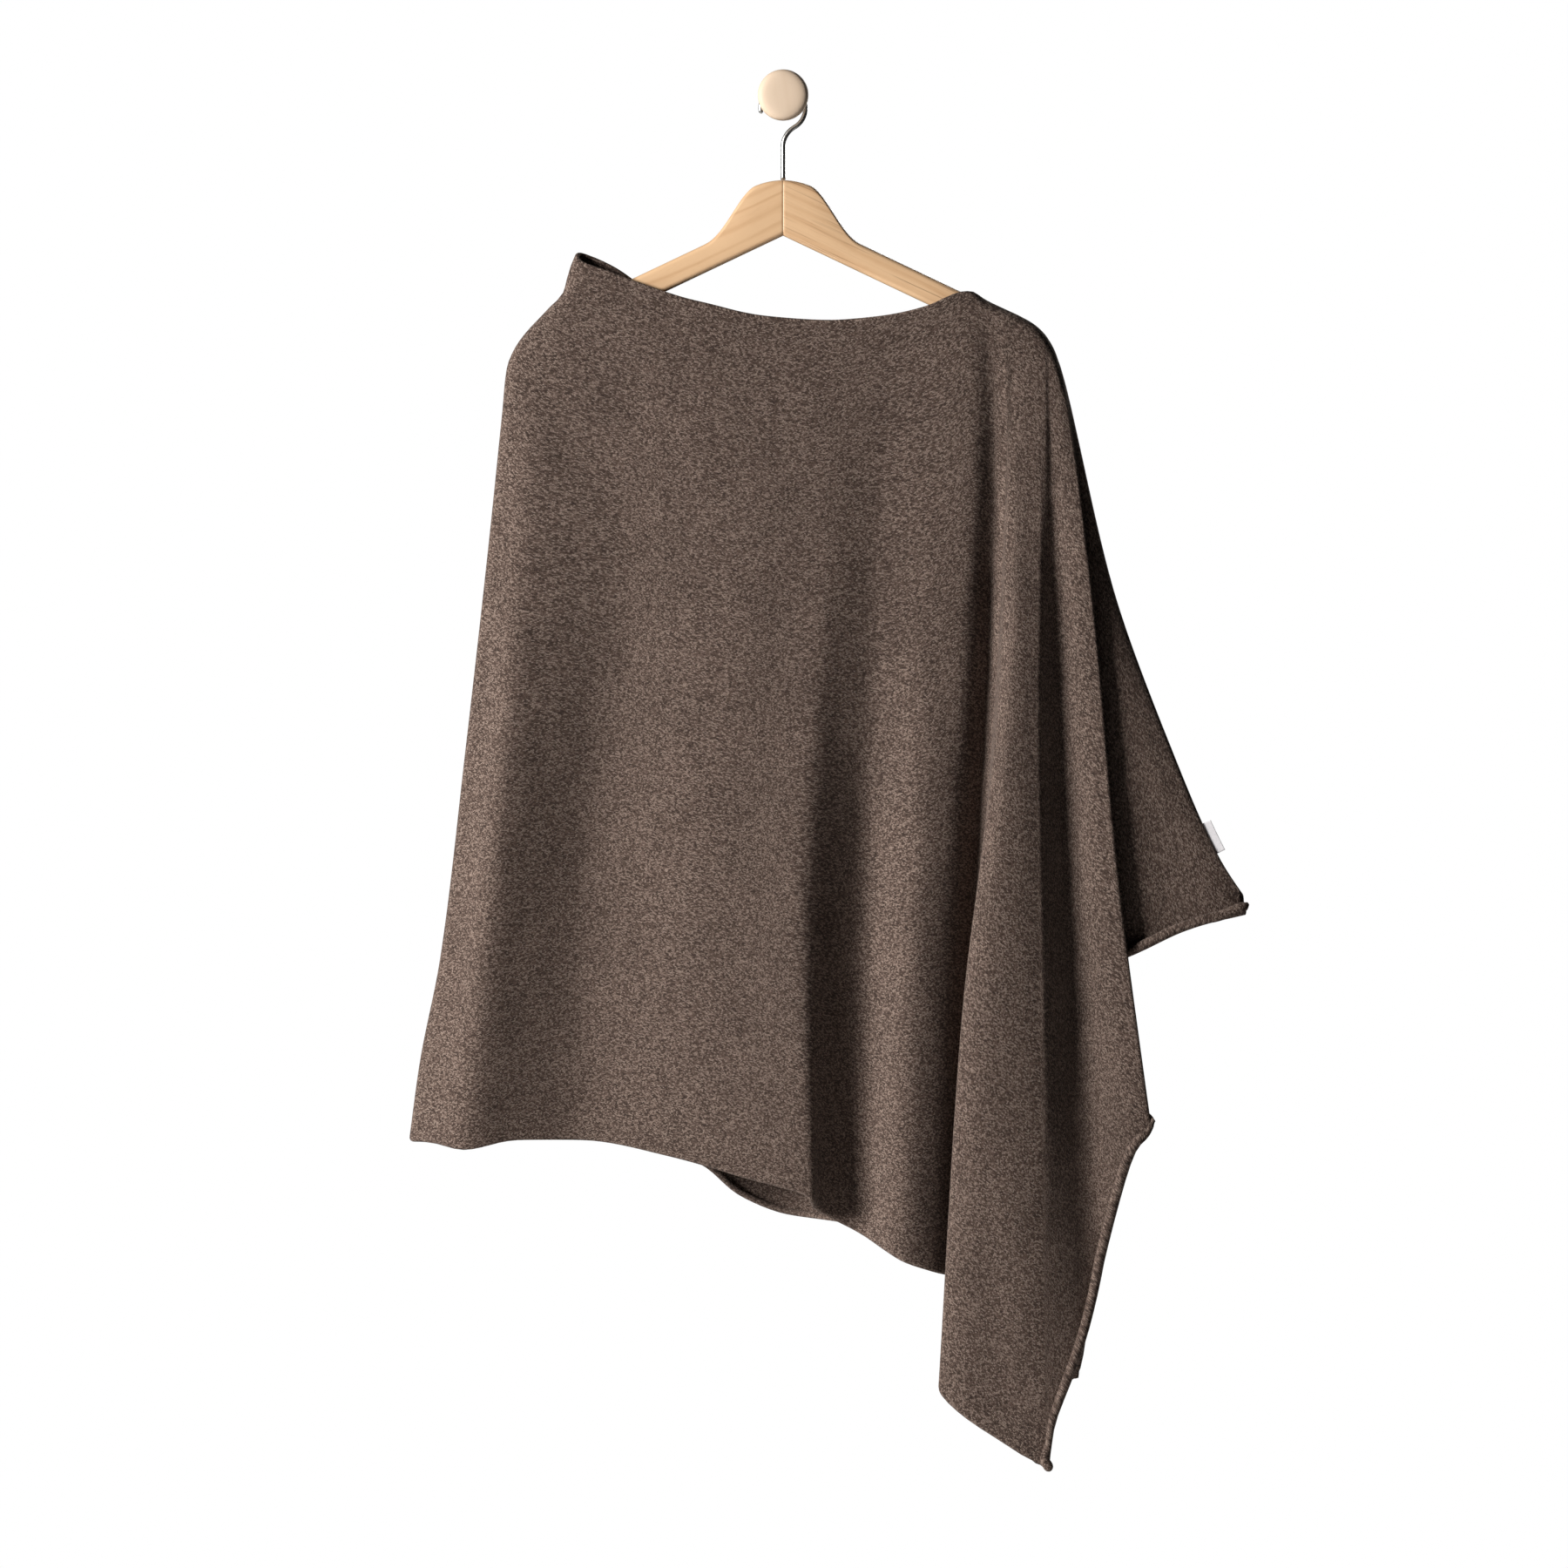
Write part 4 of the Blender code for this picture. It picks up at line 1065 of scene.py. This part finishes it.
def tape_section():
    """(across, depth) in mm round the folded tape: out along its front, round the fold and back."""
    out = np.linspace(-TAPE_SEWN, TAPE_WIDTH - TAPE_FOLD, TAPE_ROWS)
    side = np.full(TAPE_ROWS, TAPE_FOLD)
    turn = np.radians(np.linspace(90, -90, 11))[1:-1]
    fold = TAPE_WIDTH - TAPE_FOLD + TAPE_FOLD * np.cos(turn)
    across = np.concatenate((out, fold, out[::-1]))
    depth = np.concatenate((side, TAPE_FOLD * np.sin(turn), -side))
    return across, depth


class PONCHO_OT_add_label(bpy.types.Operator):
    """Make the blank tab of folded tape that is sewn into the seam"""

    bl_idname = "poncho.add_label"
    bl_label = "Add the tab"

    def execute(self, context):
        along, edge = top_edge(NECK_FRONT)
        seam = slice(len(NECK_FRONT), None)
        start = np.interp(-LABEL_TOP, -edge[seam, 1], along[seam]) + TAPE_INSET
        u = np.linspace(0, TAPE_LENGTH, TAPE_COLUMNS)
        foot = smooth_curve(along, edge, start + u)
        run = unit(np.gradient(foot, axis=0))
        off = np.stack((-run[:, 1], run[:, 0]), 1)
        across, depth = tape_section()
        lean = TAPE_LEAN * (across / TAPE_WIDTH).clip(0) ** 1.5
        bulge = TAPE_BULGE * np.sin(np.pi * u / TAPE_LENGTH)[:, None] * np.sign(depth) * np.sin(
            np.pi * (across / TAPE_WIDTH).clip(0, 1)
        )
        x, z = np.moveaxis(foot[:, None] + across[:, None] * off[:, None], 2, 0)
        points = np.stack((x, HANGER_Y - (depth + lean + bulge), z), 2)
        flat = np.stack(np.broadcast_arrays(u[:, None], distances(np.stack((across, depth), 1))), 2)
        faces = grid_faces(*points.shape[:2])
        label = add_mesh("label_tab", points.reshape(-1, 3), faces, flat.reshape(-1, 2), "tape")
        wall = label.modifiers.new("tape_thickness", "SOLIDIFY")
        wall.thickness = TAPE_WALL * MM
        wall.offset = 0
        label.data.materials.append(tape_material())
        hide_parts("label")
        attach(label, "root")
        return {"FINISHED"}


# The hanger, in mm. Its arms fall to each side, and their ends are round and droop a little more.
ARM_FALL = 0.475  # mm down for each mm out
END_FALL = 0.65
ARM_TOP = -88.2  # the height of the arms' top line, drawn on to the middle
ARM_FOOT = -111.0
ARM_END_ROUND = 18
CROWN_RADIUS = 55
CROWN_SIDE = (22, 63)  # how far out the crown turns into the arm
HANGER_ROUND = 4.2  # the radius of its long edges
JOINT_DEPTH = 0.35  # how much thinner it is at the glued joint
JOINT_WIDTH = 0.3
JOINT_STEPS = (0.0, 0.25, 0.6)
END_THICK = 0.45  # the share of its thickness that is left at an arm's tip
CORNER_STEPS = 7
# The grain: how far across it one layer in Y and one arm lie from the next, and the arms' places along it
GRAIN_SLOPE = 0.6
GRAIN_ACROSS = 37
GRAIN_ALONG = 500


def hanger_outline(x):
    """The heights of the hanger's top and lower edge in mm, at each x.

    Each side is a straight tapered arm with a round end. Near the middle the top edge is a dome, and
    a smooth S carries it down to the arm's line.
    """
    reach = HANGER_HIGH[0] - ARM_END_ROUND
    side = np.abs(x)
    dome = HANGER_HIGH[2] - side**2 / (2 * CROWN_RADIUS)
    blend = smooth_step(side, *CROWN_SIDE)
    top = dome * (1 - blend) + (ARM_TOP - ARM_FALL * side) * blend
    foot = ARM_FOOT - ARM_FALL * side
    past = (side - reach).clip(0)
    middle = (ARM_TOP + ARM_FOOT) / 2 - ARM_FALL * np.minimum(side, reach) - END_FALL * past
    round_half = (ARM_TOP - ARM_FOOT) / 2 * np.sqrt(np.clip(1 - (past / ARM_END_ROUND) ** 2, 0, 1))
    ended = past > 0
    return np.where(ended, middle + round_half, top), np.where(ended, middle - round_half, foot)


def hanger_rings():
    """Rings (n, around, 3) in mm: at each x a rectangle with rounded corners, as high as the outline.

    The steps in x crowd at both round ends, where the ring shrinks, and at the glued joint in the
    middle, where it is a hair smaller.
    """
    reach = HANGER_HIGH[0]
    ends = reach - ARM_END_ROUND * (1 - np.sin(np.linspace(0, np.pi / 2, 14)[:-1]))
    half = np.concatenate((
        JOINT_STEPS, np.linspace(2, 60, 26), np.linspace(64, reach - 20, 30), ends, (reach - 0.02,)
    ))
    x = np.concatenate((-half[:0:-1], half))
    top, foot = hanger_outline(x)
    thick = HANGER_THICK / 2 - JOINT_DEPTH * np.exp(-((x / JOINT_WIDTH) ** 2))
    tall = ((top - foot) / 2).clip(0.01)
    end_share = smooth_step(reach - np.abs(x), -1, ARM_END_ROUND * 0.8)
    thick = thick * (END_THICK + (1 - END_THICK) * np.sqrt(end_share))
    corner = np.minimum(HANGER_ROUND, 0.98 * np.minimum(thick, tall))
    angle = np.radians(np.linspace(0, 90, CORNER_STEPS))
    quarter = np.stack((np.cos(angle), np.sin(angle)), 1)
    rings = []
    for sign_y, sign_z, turned in ((1, 1, 1), (-1, 1, -1), (-1, -1, 1), (1, -1, -1)):
        arc = quarter[::turned]
        y = sign_y * ((thick - corner)[:, None] + corner[:, None] * arc[None, :, 0])
        z = sign_z * ((tall - corner)[:, None] + corner[:, None] * arc[None, :, 1])
        rings.append(np.stack((y, z), 2))
    ring = np.concatenate(rings, 1)
    middle = ((top + foot) / 2)[:, None]
    return np.stack((np.broadcast_to(x[:, None], ring.shape[:2]), HANGER_Y + ring[..., 0],
                     middle + ring[..., 1]), 2)


def wood_material(name, light, grain, lines, pores, veins, roughness, coat):
    """Wood from the shared group, on the piece's own UV map. Its veins show where U is above 0."""
    material, nodes, shader = new_material(name)
    place = nodes.add("ShaderNodeUVMap", uv_map="grain").outputs[0]
    right = nodes.math("GREATER_THAN", nodes.add("ShaderNodeSeparateXYZ", {0: place}).outputs[0], 0.0)
    wood = grouped(nodes, wood_group(), Place=place, Light=rgba(light), Grain=rgba(grain), Lines=lines,
                   Pores=pores, Veins=nodes.times(right, veins))
    nodes.put(shader.inputs["Base Color"], wood["Color"])
    shader.inputs["Roughness"].default_value = roughness
    shader.inputs["Coat Weight"].default_value = coat
    shader.inputs["Coat Roughness"].default_value = 0.35
    nodes.bump(shader, wood["Height"], 0.25, 0.2)
    return material


class PONCHO_OT_add_hanger(bpy.types.Operator):
    """Make the wooden hanger: two arms glued at the middle, with rounded edges and grain along each"""

    bl_idname = "poncho.add_hanger"
    bl_label = "Add the hanger"

    def execute(self, context):
        settings = context.scene.poncho_wood
        rings = hanger_rings()
        points, faces = lathe(rings)
        faces = [face[::-1] for face in faces]
        side = np.where(points[:, 0] < 0, -1, 1)
        out, depth, height = np.abs(points[:, 0]), points[:, 1], points[:, 2]
        fall = math.atan(ARM_FALL)
        along = out * math.cos(fall) - height * math.sin(fall)
        across = height * math.cos(fall) + out * math.sin(fall) + GRAIN_SLOPE * depth
        flat = np.stack((along + GRAIN_ALONG * side, across + GRAIN_ACROSS * side), 1)
        hanger = add_mesh("hanger_arms", points, faces, flat, "grain")
        hanger.data.materials.append(
            wood_material("varnished_beech", settings.beech, settings.beech_grain, lines=0.9, pores=0.5,
                          veins=0.75, roughness=0.42, coat=0.25)
        )
        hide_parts("hanger")
        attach(hanger, "root")
        return {"FINISHED"}


# The peg's turned profile: (radius, distance from the wall) in mm, from its front to the wall
PEG_PROFILE = (
    (0.01, 80.5), (8, 80.4), (14, 80), (18.5, 78.5), (20.3, 75), (20.3, 69), (18.5, 65.5),
    (13, 63), (9, 59), (7.5, 54), (7.5, 44), (8, 36), (8, 0.01),
)
PEG_RINGS = 90
PEG_SIDES = 64


class PONCHO_OT_add_peg(bpy.types.Operator):
    """Make the turned wall peg from its profile, rounded between the profile's points"""

    bl_idname = "poncho.add_peg"
    bl_label = "Add the wall peg"

    def execute(self, context):
        settings = context.scene.poncho_wood
        profile = np.array(PEG_PROFILE, float)
        along = distances(profile)
        fine = smooth_curve(along, profile, np.linspace(0, along[-1], PEG_RINGS))
        radius, depth = fine[:, :1], np.repeat(-fine[:, 1:], PEG_SIDES, 1)
        angle = 2 * np.pi * np.arange(PEG_SIDES) / PEG_SIDES
        points, faces = lathe(np.stack((radius * np.cos(angle), depth, radius * np.sin(angle)), 2))
        flat = np.stack((points[:, 1], points[:, 0] + 0.15 * points[:, 2]), 1)
        peg = add_mesh("peg", points, faces, flat, "grain")
        peg.data.materials.append(
            wood_material("bare_beech", settings.peg, settings.peg_grain, lines=0.35, pores=0.4,
                          veins=0.0, roughness=0.6, coat=0.0)
        )
        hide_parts("wall_peg")
        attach(peg, "root")
        return {"FINISHED"}


HOOK_RADIUS = 18  # mm to the middle of the wire
HOOK_GAP = 0.3  # mm that the wire stays off the hanger's crown
WIRE_SIDES = 20


def hook_path():
    """The hook's wire in mm, from its free end over the peg and down into the hanger's crown.

    A circle goes two thirds of the way round, and a quarter turn of the same size swings it back
    under its own middle, where the straight shank stands.
    """
    middle_z = HOOK_HIGH[2] - WIRE / 2 - HOOK_RADIUS
    sweep = np.radians(np.linspace(195, -60, 60))
    circle = np.stack((HOOK_RADIUS * np.cos(sweep), middle_z + HOOK_RADIUS * np.sin(sweep)), 1)
    centre = 2 * circle[-1] - np.array((0, middle_z))
    swing = np.radians(np.linspace(120, 180, 18)[1:])
    bend = centre + HOOK_RADIUS * np.stack((np.cos(swing), np.sin(swing)), 1)
    shank_z = np.linspace(bend[-1, 1], HANGER_HIGH[2] + HOOK_GAP, 12)[1:]
    shank = np.stack((np.full(len(shank_z), bend[-1, 0]), shank_z), 1)
    path = np.concatenate((circle, bend, shank))
    return np.stack((path[:, 0], np.full(len(path), HANGER_Y), path[:, 1]), 1)


def steel_material(settings):
    """Satin steel wire: fine lines round it, and a little unevenness in its gloss."""
    material, nodes, shader = new_material("satin_steel")
    place = nodes.add("ShaderNodeTexCoord").outputs["Object"]
    marks = nodes.streaks(place, (900.0, 300.0, 900.0), 3.0, 0.6)
    shader.inputs["Base Color"].default_value = rgba(settings.steel)
    shader.inputs["Metallic"].default_value = 1.0
    rough = nodes.plus(0.22, nodes.times(marks, 0.22))
    nodes.put(shader.inputs["Roughness"], rough)
    nodes.bump(shader, marks, 0.12, 0.1)
    return material


class PONCHO_OT_add_hook(bpy.types.Operator):
    """Make the hanger's steel hook: round wire along its path, with a rounded free end"""

    bl_idname = "poncho.add_hook"
    bl_label = "Add the hook"

    def execute(self, context):
        path = hook_path()
        near_end = 1 - np.clip(distances(path) / (WIRE / 2), 0.02, 1)
        points, faces = tube(path, WIRE / 2 * np.sqrt(1 - near_end**2), WIRE_SIDES)
        hook = add_mesh("hanger_hook", points, faces)
        hook.data.materials.append(steel_material(context.scene.poncho_wood))
        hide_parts("hook")
        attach(hook, "root")
        return {"FINISHED"}


# The stage, in metres
FRAME_MIDDLE = (0.0007, -0.5516)  # x and z in the middle of the picture
PONCHO_MIDDLE = (0.0, -0.05, -0.6)
FLOOR_Z = -1.78  # with the peg as high on the wall as a coat peg
FLOOR = ((-1.5, -1.6), (1.5, -1.6), (1.5, 1.1), (-1.5, 1.1))
BACK_SHARE = 0.3  # of the key light's power
SENSOR_WIDTH = 36  # mm


def set_camera(scene, view_width, distance):
    """A camera that looks at the poncho square from the room, with a view of that width there."""
    camera = bpy.data.objects.new("camera", bpy.data.cameras.new("camera"))
    scene.collection.objects.link(camera)
    camera.data.sensor_width = SENSOR_WIDTH
    camera.data.lens = SENSOR_WIDTH * distance / view_width
    camera.data.clip_end = 100
    camera.location = (FRAME_MIDDLE[0], HANGER_Y * MM - distance, FRAME_MIDDLE[1])
    camera.rotation_euler = (math.pi / 2, 0, 0)
    scene.camera = camera


def set_room(scene, light):
    """White surroundings to the camera, which light the poncho only as strongly as light says."""
    world = bpy.data.worlds.new("studio")
    scene.world = world
    world.use_nodes = True
    nodes = Nodes(world.node_tree)
    world.node_tree.nodes.clear()
    seen = nodes.add("ShaderNodeLightPath").outputs["Is Camera Ray"]
    strength = nodes.plus(nodes.times(seen, 1 - light), light)
    white = nodes.add("ShaderNodeBackground", {"Color": (1, 1, 1, 1), "Strength": strength})
    nodes.add("ShaderNodeOutputWorld", {"Surface": white.outputs[0]})


def area_light(name, place, size, power, color):
    """A soft square light that looks at the poncho's middle."""
    data = bpy.data.lights.new(name, "AREA")
    data.shape = "SQUARE"
    data.size = size
    data.energy = power
    data.color = color
    light = bpy.data.objects.new(name, data)
    light.location = place
    light.rotation_euler = (Vector(PONCHO_MIDDLE) - light.location).to_track_quat("-Z", "Y").to_euler()
    bpy.context.scene.collection.objects.link(light)


class PONCHO_OT_set_stage(bpy.types.Operator):
    """Set the camera, the soft lights, the white surroundings and the pale floor"""

    bl_idname = "poncho.set_stage"
    bl_label = "Set the stage"

    def execute(self, context):
        settings = context.scene.poncho_stage
        scene = context.scene
        set_camera(scene, settings.view_width, settings.camera_distance)
        power = settings.key_power
        area_light("key", (-3.05, -2.0, 0.25), 1.3, power, (1.0, 0.985, 0.965))
        area_light("fill", (2.4, -3.0, 0.1), 2.5, settings.fill_power, (0.97, 0.98, 1.0))
        area_light("back", (1.2, 2.6, 0.8), 2.0, power * BACK_SHARE, (1.0, 0.99, 0.98))
        set_room(scene, settings.room_light)
        scene.view_settings.view_transform = "Standard"
        points = np.column_stack((FLOOR, np.full(len(FLOOR), FLOOR_Z))) / MM
        floor = add_mesh("floor", points, [[0, 1, 2, 3]])
        material, nodes, shader = new_material("pale_floor")
        shader.inputs["Base Color"].default_value = (0.86, 0.86, 0.85, 1)
        shader.inputs["Roughness"].default_value = 0.8
        floor.data.materials.append(material)
        return {"FINISHED"}


class PONCHO_PT_panel(bpy.types.Panel):
    """The panel in the 3D view's sidebar, with the settings and a button for each piece."""

    bl_idname = "PONCHO_PT_panel"
    bl_label = "Poncho"
    bl_space_type = "VIEW_3D"
    bl_region_type = "UI"
    bl_category = "Poncho"

    def draw(self, context):
        for settings in SETTINGS:
            group = getattr(context.scene, settings)
            for name in group.bl_rna.properties.keys():
                if name not in ("rna_type", "name"):
                    self.layout.prop(group, name)
        for operator in OPERATORS:
            self.layout.operator(operator.bl_idname)


SETTINGS = {"poncho_cloth": ClothSettings, "poncho_wood": WoodSettings, "poncho_stage": StageSettings}
OPERATORS = (
    PONCHO_OT_set_stage,
    PONCHO_OT_add_cloth,
    PONCHO_OT_add_label,
    PONCHO_OT_add_hanger,
    PONCHO_OT_add_hook,
    PONCHO_OT_add_peg,
)


def register():
    """Add the settings, the operators and the panel to the program."""
    for made in (*SETTINGS.values(), *OPERATORS, PONCHO_PT_panel):
        bpy.utils.register_class(made)
    for name, group in SETTINGS.items():
        setattr(bpy.types.Scene, name, bpy.props.PointerProperty(type=group))


def unregister():
    """Take them out of the program again."""
    for name in SETTINGS:
        delattr(bpy.types.Scene, name)
    for made in (PONCHO_PT_panel, *OPERATORS[::-1], *SETTINGS.values()):
        bpy.utils.unregister_class(made)


def main():
    """Make the stage and each piece."""
    register()
    bpy.ops.poncho.set_stage()
    bpy.ops.poncho.add_cloth()
    bpy.ops.poncho.add_label()
    bpy.ops.poncho.add_hanger()
    bpy.ops.poncho.add_hook()
    bpy.ops.poncho.add_peg()


if __name__ == "__main__":
    main()
